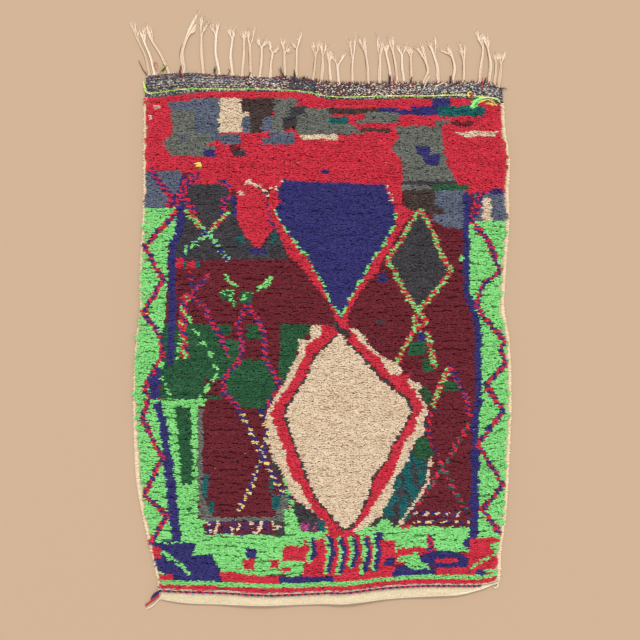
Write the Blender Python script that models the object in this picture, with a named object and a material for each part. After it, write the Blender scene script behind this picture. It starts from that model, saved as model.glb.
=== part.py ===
"""A small knotted-pile rug that lies flat on the floor.

The woven ground carries the pile, a twined line at each end, and the warp fringe past its
upper edge. X runs across the rug, Y along its warps, Z up. Lengths are in metres; the tables
are in centimetres, because that is how such a rug is measured.
"""

import math
from bisect import bisect_right
from collections import namedtuple

import bmesh
import bpy
from mathutils import Vector, noise

CM = 0.01
MM = 0.001

# Heights above the floor, and the gap that parts neighbouring pieces
GAP = 0.3 * MM
GROUND_THICK = 3.0 * MM
SEAT = GROUND_THICK + GAP  # what lies on the ground starts here

# The woven ground
GROUND_COLUMNS = 16
GROUND_MID_ROWS = 14
EDGE_SEGMENTS = 72  # finer, so that the fringe can follow the upper edge closely
WEFT_RIBS = 5  # raised bands of thick weft above the lime line
WEFT_RIB_HEIGHT = 1.0 * MM
WEFT_RIBS_START = 4.0 * MM
HEM_LIFT = 5.0 * MM  # the free lower edge stands off the floor in slow waves
HEM_WAVES = 3.5

# The pile: one ridge for each row of knots
KNOT_ROWS = 112
PILE_COLUMNS = 8
PILE_RIDGE = 12.6 * MM
PILE_VALLEY = 10.0 * MM
PILE_LUMP = 1.6 * MM
PILE_LUMP_SIZE = 6.0 * CM
PILE_OFF_TWINING = 0.5 * CM
RIDGES_PER_LOCK = 2
END_LOCKS = 36  # along each end

# The fringe
STRIP_WIDTH = 4.0 * MM
STRIP_GAP = 0.4 * MM
STRIP_REACH = 44.3 * CM
STRIP_SPLIT = 2.0 * CM
STALK_WIDTH = 6.4 * MM
STALK_HEIGHT = 3.0 * MM
BRANCH_WIDTH = 2.8 * MM
BRANCH_HEIGHT = 2.3 * MM
TIP_WIDTH = 1.5 * MM
TIP_HEIGHT = 1.1 * MM
KNEE_SHARE = 0.55  # how far up the stalk its bend lies
TOP_SHARE = 0.6  # a strand's flat top, as a share of its foot

# The cloth's ends, from left to right
EndRow = namedtuple("EndRow", "x ground_top lime_line pile_top twined_line ground_bottom")
END_EDGES = [
    EndRow(-45, 66.4, 61.6, 60.5, -62.5, -64.3),
    EndRow(-35, 67.1, 62.9, 61.5, -63.0, -65.9),
    EndRow(-25, 66.6, 62.9, 62.3, -63.3, -66.3),
    EndRow(-15, 66.0, 62.9, 62.3, -63.9, -66.5),
    EndRow(-5, 65.5, 62.3, 61.7, -63.6, -66.3),
    EndRow(0, 64.6, 61.3, 60.5, -63.3, -66.1),
    EndRow(5, 64.3, 60.9, 60.2, -63.3, -66.1),
    EndRow(15, 64.5, 61.2, 60.3, -62.1, -65.0),
    EndRow(25, 64.4, 61.2, 60.4, -61.5, -64.3),
    EndRow(35, 64.6, 61.4, 60.4, -61.5, -63.6),
    EndRow(40, 64.6, 60.9, 60.0, -61.3, -62.1),
    EndRow(45, 63.3, 60.3, 59.0, -60.0, -60.3),
]

# The cloth's sides, from the lower end to the upper one
SideRow = namedtuple("SideRow", "y ground_left ground_right pile_left pile_right")
SIDE_EDGES = [
    SideRow(-66.0, -41.0, 43.0, -40.4, 42.4),
    SideRow(-60.0, -41.8, 43.9, -41.1, 43.1),
    SideRow(-52.5, -43.4, 44.3, -42.9, 43.5),
    SideRow(-45.0, -45.4, 45.2, -44.3, 44.5),
    SideRow(-37.5, -46.9, 45.8, -45.4, 44.9),
    SideRow(-30.0, -47.6, 46.3, -46.0, 44.9),
    SideRow(-15.0, -47.6, 46.8, -47.1, 46.0),
    SideRow(0.0, -46.8, 46.3, -46.5, 45.7),
    SideRow(7.5, -45.8, 45.1, -45.5, 44.3),
    SideRow(15.0, -46.0, 45.4, -45.7, 44.4),
    SideRow(30.0, -45.3, 46.3, -45.0, 45.8),
    SideRow(37.5, -45.1, 46.2, -44.7, 44.9),
    SideRow(45.0, -45.1, 46.3, -44.7, 45.8),
    SideRow(52.5, -45.1, 45.4, -44.5, 44.4),
    SideRow(60.0, -45.0, 44.8, -44.6, 44.3),
    SideRow(66.0, -44.6, 44.3, -44.2, 43.9),
]

# The pile's wall at one point of its rim: how far its top and foot are set in, how far its
# middle reaches out, and the heights of its shoulder and of that middle
Rim = namedtuple("Rim", "set_in reach shoulder tip")
RIM = {
    "valley": Rim(4.5 * MM, -3.6 * MM, 8.0 * MM, 5.4 * MM),
    "ridge": Rim(3.2 * MM, -1.4 * MM, 10.4 * MM, 6.6 * MM),
    "side lock": Rim(2.4 * MM, 4.2 * MM, 9.6 * MM, 5.0 * MM),
    "end lock": Rim(2.8 * MM, 1.2 * MM, 10.0 * MM, 5.8 * MM),
}

# The fringe's bundles, from left to right: where each is rooted on the upper edge, and how far
# beside and above its root it bends, forks and ends in two strands
Bundle = namedtuple("Bundle", "root knee_dx fork_dx fork_up left_dx left_up right_dx right_up")
FRINGE = [
    Bundle(-43.9, -1.0, -2.8, 8.2, -4.5, 12.0, -3.5, 11.5),
    Bundle(-42.6, -1.0, -2.4, 7.4, -3.5, 10.4, -2.7, 10.7),
    Bundle(-39.0, -2.0, -4.1, 7.6, -5.9, 11.6, -4.7, 10.4),
    Bundle(-35.2, -0.5, 0.8, 8.4, 3.4, 13.9, 2.9, 11.0),
    Bundle(-30.4, -0.4, -0.4, 8.9, -0.3, 14.1, 1.1, 11.8),
    Bundle(-26.4, -0.9, -0.8, 9.1, -1.7, 12.1, -0.4, 12.3),
    Bundle(-23.0, -0.5, 0.0, 8.3, -1.0, 10.6, 0.3, 10.3),
    Bundle(-20.6, 0.4, 0.5, 8.2, 0.2, 10.2, 0.8, 9.7),
    Bundle(-18.5, -0.1, -0.2, 7.0, -0.5, 10.3, 1.0, 10.8),
    Bundle(-16.2, 0.4, 0.5, 6.7, -0.4, 8.8, 1.4, 8.4),
    Bundle(-13.5, 0.2, 0.5, 5.6, -0.4, 7.7, 1.6, 6.6),
    Bundle(-9.8, -0.2, -0.2, 5.8, -0.6, 8.8, 1.1, 6.8),
    Bundle(-6.9, 0.0, 0.1, 6.9, -0.6, 7.9, 1.1, 11.2),
    Bundle(-2.8, 0.4, 0.6, 5.4, 0.0, 8.8, 1.4, 8.8),
    Bundle(-0.7, 0.3, 0.3, 6.0, 0.0, 9.0, 1.3, 8.9),
    Bundle(1.6, -0.2, -0.3, 4.5, -0.6, 6.8, 0.1, 7.0),
    Bundle(3.6, -0.2, -0.3, 3.9, -1.4, 6.7, 1.5, 6.9),
    Bundle(7.1, -0.1, 0.0, 5.7, -0.8, 10.6, 0.8, 10.9),
    Bundle(11.0, -0.2, -0.6, 6.8, -2.3, 11.1, -1.2, 10.6),
    Bundle(13.8, 0.1, 0.1, 6.0, -0.8, 10.4, 0.8, 9.5),
    Bundle(16.8, -0.5, -1.2, 6.8, -1.5, 8.8, -0.8, 9.0),
    Bundle(18.3, -0.4, -1.1, 7.5, -1.9, 10.2, -1.1, 10.0),
    Bundle(20.0, -0.5, -0.5, 6.6, -1.6, 8.6, 0.3, 8.8),
    Bundle(21.9, -0.2, -0.2, 6.1, -0.9, 7.8, 0.0, 8.1),
    Bundle(24.9, 1.1, 0.6, 4.9, -1.9, 8.9, -0.5, 9.2),
    Bundle(28.6, -0.2, -1.0, 6.5, -2.1, 9.3, -0.6, 10.7),
    Bundle(32.2, 0.5, -0.1, 6.1, -2.8, 7.8, -1.1, 8.1),
    Bundle(35.0, 0.0, 0.0, 5.2, -1.0, 8.7, 0.3, 8.7),
    Bundle(39.0, 0.5, 0.9, 7.9, -0.9, 12.5, 0.0, 11.7),
    Bundle(41.3, 0.4, -0.2, 8.2, -1.4, 11.4, -0.6, 11.2),
    Bundle(42.7, 0.4, 0.4, 5.3, 0.0, 7.1, 0.8, 6.7),
    Bundle(43.8, 0.4, 0.5, 5.1, 0.5, 7.1, 1.3, 7.4),
]

# The twined lines, and the free ends where they leave the cloth: across and along in
# centimetres, the foot's height in millimetres, and the share of the full thickness there
Twining = namedtuple("Twining", "line start end width height pitch loose_end")
Stop = namedtuple("Stop", "x y foot share")
LIME_TWINING = Twining(
    "lime_line", -43.6, 43.4, 4.0 * MM, 2.6 * MM, 12.0 * MM,
    [
        Stop(-45.2, 61.9, 3.3, 1.0),
        Stop(-45.7, 62.8, 1.2, 1.0),
        Stop(-45.5, 64.8, 0.0, 0.5),
    ],
)
END_TWINING = Twining(
    "twined_line", -40.5, 39.0, 5.0 * MM, 3.4 * MM, 12.5 * MM,
    [
        Stop(-41.5, -63.2, 3.3, 1.0),
        Stop(-42.3, -63.9, 3.0, 1.0),
        Stop(-43.3, -65.0, 0.0, 1.1),
        Stop(-44.1, -66.2, 0.0, 1.0),
        Stop(-44.8, -67.5, 0.0, 0.4),
    ],
)
WAIST = 0.78  # how much a twined line narrows between two crossings


def remove_all():
    for thing in list(bpy.data.objects):
        bpy.data.objects.remove(thing, do_unlink=True)


def mix(a, b, share):
    return a + (b - a) * share


def along(rows, column, at):
    """A table's column as a smooth curve, read at a place along its first column."""
    keys = [row[0] * CM for row in rows]
    values = [getattr(row, column) * CM for row in rows]
    last = len(keys) - 1
    i = min(max(bisect_right(keys, at) - 1, 0), last - 1)
    slopes = []
    for k in (i, i + 1):
        before, after = max(k - 1, 0), min(k + 1, last)
        slopes.append((values[after] - values[before]) / (keys[after] - keys[before]))
    width = keys[i + 1] - keys[i]
    t = min(max((at - keys[i]) / width, 0.0), 1.0)
    level = mix(values[i], values[i + 1], t * t * (3 - 2 * t))
    return level + t * (1 - t) * width * ((1 - t) * slopes[0] - t * slopes[1])


def on_cloth(across, lower, upper, share, side="ground"):
    """A point on the floor plan: across from the left side to the right one, and at a share of
    the way from one of the end table's lines to another. Each line is a column and an offset."""
    x = 0.0
    for _ in range(4):
        ends = [along(END_EDGES, column, x) + offset for column, offset in (lower, upper)]
        y = mix(ends[0], ends[1], share)
        left = along(SIDE_EDGES, side + "_left", y)
        right = along(SIDE_EDGES, side + "_right", y)
        x = mix(left, right, across)
    return Vector((x, y, 0.0))


def stitch(bm, near, far):
    """Joins two rows of vertices that run the same way, whatever their counts."""
    i = j = 0
    while i < len(near) - 1 or j < len(far) - 1:
        next_near = (i + 1) / (len(near) - 1)
        next_far = (j + 1) / (len(far) - 1)
        if abs(next_near - next_far) < 1e-6:
            bm.faces.new((near[i], near[i + 1], far[j + 1], far[j]))
            i, j = i + 1, j + 1
        elif next_near < next_far:
            bm.faces.new((near[i], near[i + 1], far[j]))
            i += 1
        else:
            bm.faces.new((near[i], far[j + 1], far[j]))
            j += 1


def finish(name, bm, colour, roughness):
    """Turns the mesh into an object with its own yarn."""
    bmesh.ops.recalc_face_normals(bm, faces=bm.faces)
    mesh = bpy.data.meshes.new(name)
    bm.to_mesh(mesh)
    bm.free()
    yarn = bpy.data.materials.new(name + "_yarn")
    yarn.use_nodes = True
    shader = yarn.node_tree.nodes["Principled BSDF"]
    shader.inputs["Base Color"].default_value = (*colour, 1.0)
    shader.inputs["Roughness"].default_value = roughness
    shader.inputs["Metallic"].default_value = 0.0
    mesh.materials.append(yarn)
    thing = bpy.data.objects.new(name, mesh)
    bpy.context.collection.objects.link(thing)
    return thing


def hem_lift(across):
    """How far the lower edge stands off the floor; it comes down at both corners."""
    ends = math.sin(math.pi * across) ** 0.5
    return HEM_LIFT * ends * (0.65 + 0.35 * math.cos(2 * math.pi * HEM_WAVES * across))


def ground_lines():
    """The ground's rows from its lower edge to its upper one: the two lines that each lies
    between, its share of the way, its height above the plain cloth, and its share of the
    hem's lift."""
    hem = ("ground_bottom", 0.0)
    twined = ("twined_line", 0.0)
    pile = ("pile_top", 0.0)
    ribs = ("lime_line", WEFT_RIBS_START)
    top = ("ground_top", 0.0)
    lines = [(hem, twined, 0.0, 0.0, 1.0), (hem, twined, 0.35, 0.0, 0.5)]
    lines.append((hem, twined, 0.62, 0.0, 0.0))
    lines += [(twined, pile, k / GROUND_MID_ROWS, 0.0, 0.0) for k in range(GROUND_MID_ROWS + 1)]
    for k in range(WEFT_RIBS):
        lines.append((ribs, top, k / WEFT_RIBS, 0.0, 0.0))
        lines.append((ribs, top, (k + 0.5) / WEFT_RIBS, WEFT_RIB_HEIGHT, 0.0))
    lines.append((ribs, top, 1.0, 0.0, 0.0))
    return lines


def ground_weave():
    bm = bmesh.new()
    tops, feet = [], []
    lines = ground_lines()
    for lower, upper, share, rise, lifted in lines:
        last = share == 1.0
        count = EDGE_SEGMENTS if last and upper[0] == "ground_top" else GROUND_COLUMNS
        top, foot = [], []
        for k in range(count + 1):
            across = k / count
            place = on_cloth(across, lower, upper, share)
            lift = hem_lift(across) * lifted
            top.append(bm.verts.new(place + Vector((0, 0, GROUND_THICK + rise + lift))))
            foot.append(bm.verts.new(place + Vector((0, 0, lift))))
        tops.append(top)
        feet.append(foot)
    for rows in (tops, feet):
        for near, far in zip(rows, rows[1:]):
            stitch(bm, near, far)
    for end in (0, -1):
        stitch(bm, tops[end], feet[end])
        stitch(bm, [row[end] for row in tops], [row[end] for row in feet])
    return finish("ground_weave", bm, (0.72, 0.58, 0.40), 0.9)


def pile_point(across, up):
    return on_cloth(across, ("twined_line", PILE_OFF_TWINING), ("pile_top", 0.0), up, "pile")


def rim_column(bm, edge, outward, kind):
    """The wall's vertices at one point of the rim, from its shoulder down to its foot."""
    rim = RIM[kind]
    wall = ((-rim.set_in, rim.shoulder), (rim.reach, rim.tip), (-rim.set_in, SEAT))
    return [bm.verts.new(edge + outward * out + Vector((0, 0, z))) for out, z in wall]


def rim_kind(number, lock):
    """Locks stand on every few ridges of the rim, valleys between ridges."""
    if number % 2 == 0:
        return "valley"
    return lock if (number // 2) % RIDGES_PER_LOCK == 0 else "ridge"


def pile_end(bm, up, sign):
    """The wall along one end of the pile, from left to right, corners and all."""
    columns = []
    steps = 2 * END_LOCKS
    for k in range(steps + 1):
        corner = (k == steps) - (k == 0)
        outward = Vector((corner, sign, 0.0)).normalized()
        kind = "end lock" if k % 2 else "valley"
        columns.append(rim_column(bm, pile_point(k / steps, up), outward, kind))
    return columns


def knotted_pile():
    bm = bmesh.new()
    lines = 2 * KNOT_ROWS
    lower, upper = pile_end(bm, 0.0, -1), pile_end(bm, 1.0, 1)
    left, right = [], []
    rows = [[column[0] for column in lower]]
    for line in range(1, lines):
        up = line / lines
        kind = rim_kind(line, "side lock")
        left.append(rim_column(bm, pile_point(0.0, up), Vector((-1, 0, 0)), kind))
        right.append(rim_column(bm, pile_point(1.0, up), Vector((1, 0, 0)), kind))
        row = [left[-1][0]]
        for k in range(1, PILE_COLUMNS):
            place = pile_point(k / PILE_COLUMNS, up)
            lump = PILE_LUMP * noise.noise(place / PILE_LUMP_SIZE)
            place.z = (PILE_RIDGE if line % 2 else PILE_VALLEY) + lump
            row.append(bm.verts.new(place))
        rows.append(row + [right[-1][0]])
    rows.append([column[0] for column in upper])
    for near, far in zip(rows, rows[1:]):
        stitch(bm, near, far)
    ring = lower + right + upper[::-1] + left[::-1]
    for column, after in zip(ring, ring[1:] + ring[:1]):
        for level in range(2):
            bm.faces.new((column[level], after[level], after[level + 1], column[level + 1]))
    bm.faces.new([column[2] for column in ring])
    return finish("knotted_pile", bm, (0.42, 0.03, 0.05), 0.95)


def ring_at(bm, centre, heading, width, height, halves=1):
    """A strand's section: its foot from left to right, then its narrower top back again."""
    side = Vector((heading.y, -heading.x, 0.0)).normalized()
    spots = [k / halves - 0.5 for k in range(halves + 1)]
    foot = [bm.verts.new(centre + side * spot * width) for spot in spots]
    top = [
        bm.verts.new(centre + side * spot * width * TOP_SHARE + Vector((0, 0, height)))
        for spot in reversed(spots)
    ]
    return foot + top


def sleeve(bm, ring, after):
    count = len(ring)
    for k in range(count):
        bm.faces.new((ring[k], ring[(k + 1) % count], after[(k + 1) % count], after[k]))


def branch(bm, start, root, tip):
    """One of a bundle's two strands, from its half of the fork to its end."""
    heading = tip - root
    middle = ring_at(bm, mix(root, tip, 0.5), heading, BRANCH_WIDTH, BRANCH_HEIGHT)
    end = ring_at(bm, tip, heading, TIP_WIDTH, TIP_HEIGHT)
    sleeve(bm, start, middle)
    sleeve(bm, middle, end)
    bm.faces.new(end)


def grow_bundle(bm, bundle, root_ring, root):
    """A bundle of warps grown from its place on the strip: stalk, fork and two strands."""
    def spot(dx, up):
        return root + Vector((dx * CM, up * CM, 0.0))

    knee = spot(bundle.knee_dx, bundle.fork_up * KNEE_SHARE)
    fork = spot(bundle.fork_dx, bundle.fork_up)
    left = spot(bundle.left_dx, bundle.left_up)
    right = spot(bundle.right_dx, bundle.right_up)
    bend = ring_at(bm, knee, fork - root, STALK_WIDTH, STALK_HEIGHT)
    onward = (left + right) / 2 - fork
    heading = (fork - knee).normalized() + onward.normalized()
    split = ring_at(bm, fork, heading, STALK_WIDTH, STALK_HEIGHT, halves=2)
    foot_left, foot_middle, foot_right, top_right, top_middle, top_left = split
    sleeve(bm, root_ring, bend)
    bm.faces.new((bend[0], bend[1], foot_right, foot_middle, foot_left))
    bm.faces.new((bend[1], bend[2], top_right, foot_right))
    bm.faces.new((bend[2], bend[3], top_left, top_middle, top_right))
    bm.faces.new((bend[3], bend[0], foot_left, top_left))
    branch(bm, [foot_left, foot_middle, top_middle, top_left], fork, left)
    branch(bm, [foot_middle, foot_right, top_right, top_middle], fork, right)


def strip_stations():
    """Places along the strip, each with the bundle that is rooted from there to the next."""
    stations = []
    at = -STRIP_REACH
    for bundle in FRINGE:
        start = bundle.root * CM - STALK_WIDTH / 2
        plain = max(1, math.ceil((start - at) / STRIP_SPLIT))
        stations += [(mix(at, start, k / plain), None) for k in range(plain)]
        stations.append((start, bundle))
        at = start + STALK_WIDTH
    return stations + [(at, None), (STRIP_REACH, None)]


def warp_fringe():
    """The strip of bared warps that is parted from the cloth's edge, and its bundles."""
    bm = bmesh.new()
    stations = strip_stations()
    rings = []
    for x, _ in stations:
        near = along(END_EDGES, "ground_top", x) + STRIP_GAP
        section = ((near, 0.0), (near, STALK_HEIGHT))
        section += ((near + STRIP_WIDTH, STALK_HEIGHT), (near + STRIP_WIDTH, 0.0))
        rings.append([bm.verts.new((x, y, z)) for y, z in section])
    for (x, bundle), ring, after in zip(stations, rings, rings[1:]):
        for k in range(4):
            if bundle is None or k != 2:
                bm.faces.new((ring[k], ring[k - 3], after[k - 3], after[k]))
        if bundle is not None:
            root_ring = [ring[3], after[3], after[2], ring[2]]
            root = (ring[3].co + after[3].co) / 2
            grow_bundle(bm, bundle, root_ring, root)
    bm.faces.new(rings[0])
    bm.faces.new(rings[-1])
    return finish("warp_fringe", bm, (0.70, 0.55, 0.40), 0.9)


def twining_route(twining):
    """The middle of a twined line's foot: its free end first, then along the cloth."""
    stops = [
        (Vector((stop.x * CM, stop.y * CM, stop.foot * MM)), stop.share)
        for stop in reversed(twining.loose_end)
    ]
    length = (twining.end - twining.start) * CM
    steps = round(length / (twining.pitch / 2))
    for k in range(steps + 1):
        x = twining.start * CM + length * k / steps
        y = along(END_EDGES, twining.line, x)
        stops.append((Vector((x, y, SEAT)), 1.0))
    return stops


def twined_line(name, twining, colour):
    """Yarns that cross over each other along the line, as a rib of swells and waists."""
    bm = bmesh.new()
    stops = twining_route(twining)
    rings = []
    for k, (place, share) in enumerate(stops):
        before, after = stops[max(k - 1, 0)][0], stops[min(k + 1, len(stops) - 1)][0]
        swell = share * (1.0 if k % 2 else WAIST)
        size = (twining.width * swell, twining.height * swell)
        rings.append(ring_at(bm, place, after - before, *size))
    for ring, after in zip(rings, rings[1:]):
        sleeve(bm, ring, after)
    bm.faces.new(rings[0])
    bm.faces.new(rings[-1])
    return finish(name, bm, colour, 0.9)


def stand_on_origin(things):
    """Moves the pieces so that the origin is under the middle of the whole, on the floor."""
    spots = [vertex.co for thing in things for vertex in thing.data.vertices]
    low = [min(spot[axis] for spot in spots) for axis in range(3)]
    high = [max(spot[axis] for spot in spots) for axis in range(3)]
    shift = Vector((-(low[0] + high[0]) / 2, -(low[1] + high[1]) / 2, -low[2]))
    for thing in things:
        for vertex in thing.data.vertices:
            vertex.co += shift


def main():
    remove_all()
    pieces = [
        ground_weave(),
        knotted_pile(),
        warp_fringe(),
        twined_line("lime_twining", LIME_TWINING, (0.25, 0.72, 0.16)),
        twined_line("end_twining", END_TWINING, (0.10, 0.03, 0.16)),
    ]
    stand_on_origin(pieces)


main()
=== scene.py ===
"""The looks of a small knotted-pile rug, lying flat and seen from straight above.

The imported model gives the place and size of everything. The cloth's outline and the fringe's
bundles are repeated here in centimetres, in the same frame as the part's own tables, and one
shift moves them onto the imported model. Other lengths are in metres.
"""

import math
import random
from bisect import bisect_right
from collections import namedtuple

import bpy
import numpy as np
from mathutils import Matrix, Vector, noise

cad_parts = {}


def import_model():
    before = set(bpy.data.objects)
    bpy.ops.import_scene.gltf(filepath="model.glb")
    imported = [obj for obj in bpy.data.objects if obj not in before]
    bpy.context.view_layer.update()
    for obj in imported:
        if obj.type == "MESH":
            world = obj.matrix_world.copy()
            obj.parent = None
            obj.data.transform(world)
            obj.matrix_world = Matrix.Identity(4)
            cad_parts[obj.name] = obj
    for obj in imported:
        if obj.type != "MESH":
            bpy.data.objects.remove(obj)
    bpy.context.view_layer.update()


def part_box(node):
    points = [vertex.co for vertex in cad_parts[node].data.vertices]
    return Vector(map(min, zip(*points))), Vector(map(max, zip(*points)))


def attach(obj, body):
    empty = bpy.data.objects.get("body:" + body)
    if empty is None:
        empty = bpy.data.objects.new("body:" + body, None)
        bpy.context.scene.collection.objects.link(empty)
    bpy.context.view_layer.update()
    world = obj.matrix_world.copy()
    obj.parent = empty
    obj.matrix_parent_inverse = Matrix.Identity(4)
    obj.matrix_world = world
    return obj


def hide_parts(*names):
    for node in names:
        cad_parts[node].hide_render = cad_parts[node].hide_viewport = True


CM = 0.01
MM = 0.001
SEED = 11

# The cloth's ends, from left to right
EndRow = namedtuple("EndRow", "x ground_top lime_line pile_top twined_line ground_bottom")
END_EDGES = [EndRow(*row) for row in [
    (-45, 66.4, 61.6, 60.5, -62.5, -64.3),
    (-35, 67.1, 62.9, 61.5, -63.0, -65.9),
    (-25, 66.6, 62.9, 62.3, -63.3, -66.3),
    (-15, 66.0, 62.9, 62.3, -63.9, -66.5),
    (-5, 65.5, 62.3, 61.7, -63.6, -66.3),
    (0, 64.6, 61.3, 60.5, -63.3, -66.1),
    (5, 64.3, 60.9, 60.2, -63.3, -66.1),
    (15, 64.5, 61.2, 60.3, -62.1, -65.0),
    (25, 64.4, 61.2, 60.4, -61.5, -64.3),
    (35, 64.6, 61.4, 60.4, -61.5, -63.6),
    (40, 64.6, 60.9, 60.0, -61.3, -62.1),
    (45, 63.3, 60.3, 59.0, -60.0, -60.3),
]]

# The cloth's sides, from the lower end to the upper one
SideRow = namedtuple("SideRow", "y ground_left ground_right pile_left pile_right")
SIDE_EDGES = [SideRow(*row) for row in [
    (-66.0, -41.0, 43.0, -40.4, 42.4),
    (-60.0, -41.8, 43.9, -41.1, 43.1),
    (-52.5, -43.4, 44.3, -42.9, 43.5),
    (-45.0, -45.4, 45.2, -44.3, 44.8),
    (-37.5, -46.9, 45.8, -45.4, 45.3),
    (-30.0, -47.6, 46.3, -46.0, 45.4),
    (-15.0, -47.6, 46.8, -47.3, 46.0),
    (0.0, -46.8, 46.3, -46.9, 45.5),
    (7.5, -45.8, 45.1, -45.9, 44.0),
    (15.0, -46.0, 45.4, -45.9, 44.1),
    (30.0, -45.3, 46.3, -45.0, 45.5),
    (37.5, -45.1, 46.2, -44.7, 45.1),
    (45.0, -45.1, 46.3, -44.7, 45.8),
    (52.5, -45.1, 45.4, -44.5, 44.4),
    (60.0, -45.0, 44.8, -44.6, 44.3),
    (66.0, -44.6, 44.3, -44.2, 43.9),
]]

THICK_BUNDLE = 3  # the one that is nearly twice as thick, counted from the left

# The fringe's bundles, from left to right: where each is rooted on the upper edge, and how far
# beside and above its root it bends, forks and ends in two strands
Bundle = namedtuple("Bundle", "root knee_dx fork_dx fork_up left_dx left_up right_dx right_up")
FRINGE = [Bundle(*row) for row in [
    (-43.9, -1.0, -2.8, 8.2, -4.5, 12.0, -3.5, 11.5),
    (-42.6, -1.0, -2.4, 7.4, -3.5, 10.4, -2.7, 10.7),
    (-39.0, -2.0, -4.1, 7.6, -5.9, 11.6, -4.7, 10.4),
    (-35.2, -0.5, 0.8, 8.4, 3.4, 13.9, 2.9, 11.0),
    (-30.4, -0.4, -0.4, 8.9, -0.3, 14.1, 1.1, 11.8),
    (-26.4, -0.9, -0.8, 9.1, -1.7, 12.1, -0.4, 12.3),
    (-23.0, -0.5, 0.0, 8.3, -1.0, 10.6, 0.3, 10.3),
    (-20.6, 0.4, 0.5, 8.2, 0.2, 10.2, 0.8, 9.7),
    (-18.5, -0.1, -0.2, 7.0, -0.5, 10.3, 1.0, 10.8),
    (-16.2, 0.4, 0.5, 6.7, -0.4, 8.8, 1.4, 8.4),
    (-13.5, 0.2, 0.5, 5.6, -0.4, 7.7, 1.6, 6.6),
    (-9.8, -0.2, -0.2, 5.8, -0.6, 8.8, 1.1, 6.8),
    (-6.9, 0.0, 0.1, 6.9, -0.6, 7.9, 1.1, 11.2),
    (-2.8, 0.4, 0.6, 5.4, 0.0, 8.8, 1.4, 8.8),
    (-0.7, 0.3, 0.3, 6.0, 0.0, 9.0, 1.3, 8.9),
    (1.6, -0.2, -0.3, 4.5, -0.6, 6.8, 0.1, 7.0),
    (3.6, -0.2, -0.3, 3.9, -1.4, 6.7, 1.5, 6.9),
    (7.1, -0.1, 0.0, 5.7, -0.8, 10.6, 0.8, 10.9),
    (11.0, -0.2, -0.6, 6.8, -2.3, 11.1, -1.2, 10.6),
    (13.8, 0.1, 0.1, 6.0, -0.8, 10.4, 0.8, 9.5),
    (16.8, -0.5, -1.2, 6.8, -1.5, 8.8, -0.8, 9.0),
    (18.3, -0.4, -1.1, 7.5, -1.9, 10.2, -1.1, 10.0),
    (20.0, -0.5, -0.5, 6.6, -1.6, 8.6, 0.3, 8.8),
    (21.9, -0.2, -0.2, 6.1, -0.9, 7.8, 0.0, 8.1),
    (24.9, 1.1, 0.6, 4.9, -1.9, 8.9, -0.5, 9.2),
    (28.6, -0.2, -1.0, 6.5, -2.1, 9.3, -0.6, 10.7),
    (32.2, 0.5, -0.1, 6.1, -2.8, 7.8, -1.1, 8.1),
    (35.0, 0.0, 0.0, 5.2, -1.0, 8.7, 0.3, 8.7),
    (39.0, 0.5, 0.9, 7.9, -0.9, 12.5, 0.0, 11.7),
    (41.3, 0.4, -0.2, 8.2, -1.4, 11.4, -0.6, 11.2),
    (42.7, 0.4, 0.4, 5.3, 0.0, 7.1, 0.8, 6.7),
    (43.8, 0.4, 0.5, 5.1, 0.5, 7.1, 1.3, 7.4),
]]

# The chart: what the knots are tied in, later shapes over earlier ones. X and Y are in
# centimetres from the middle of the rug. An outline's yarns take turns along it.
Patch = namedtuple("Patch", "yarn corners")
Outline = namedtuple("Outline", "yarns width route turn", defaults=[0.9])


def block(yarn, left, low, right, high):
    return Patch(yarn, [(left, low), (right, low), (right, high), (left, high)])


def blocks(yarn, *boxes):
    return [block(yarn, *box) for box in boxes]


def comb(yarns, left, right, high, low, pitch):
    """Teeth side by side, slanting in turns to both sides, in turns of the yarns."""
    turns = yarns.split()
    return [
        Outline(turns[k % len(turns)], 0.45, [(left + k * pitch, high), (left + k * pitch + (-1) ** k, low)])
        for k in range(round((right - left) / pitch) + 1)
    ]


def bent_tooth(yarn, width, x, low):
    """One of the long teeth below the cream lozenge."""
    return Outline(yarn, width, [(x, -49.6), (x + 0.7, -53), (x - 0.2, low)])


def leaf(yarn, x, y):
    """A small lozenge that leans to the right."""
    return Patch(yarn, [(x - 1.5, y + 0.5), (x + 0.7, y + 2.1), (x + 1.5, y - 0.7), (x - 0.5, y - 2.1)])


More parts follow.
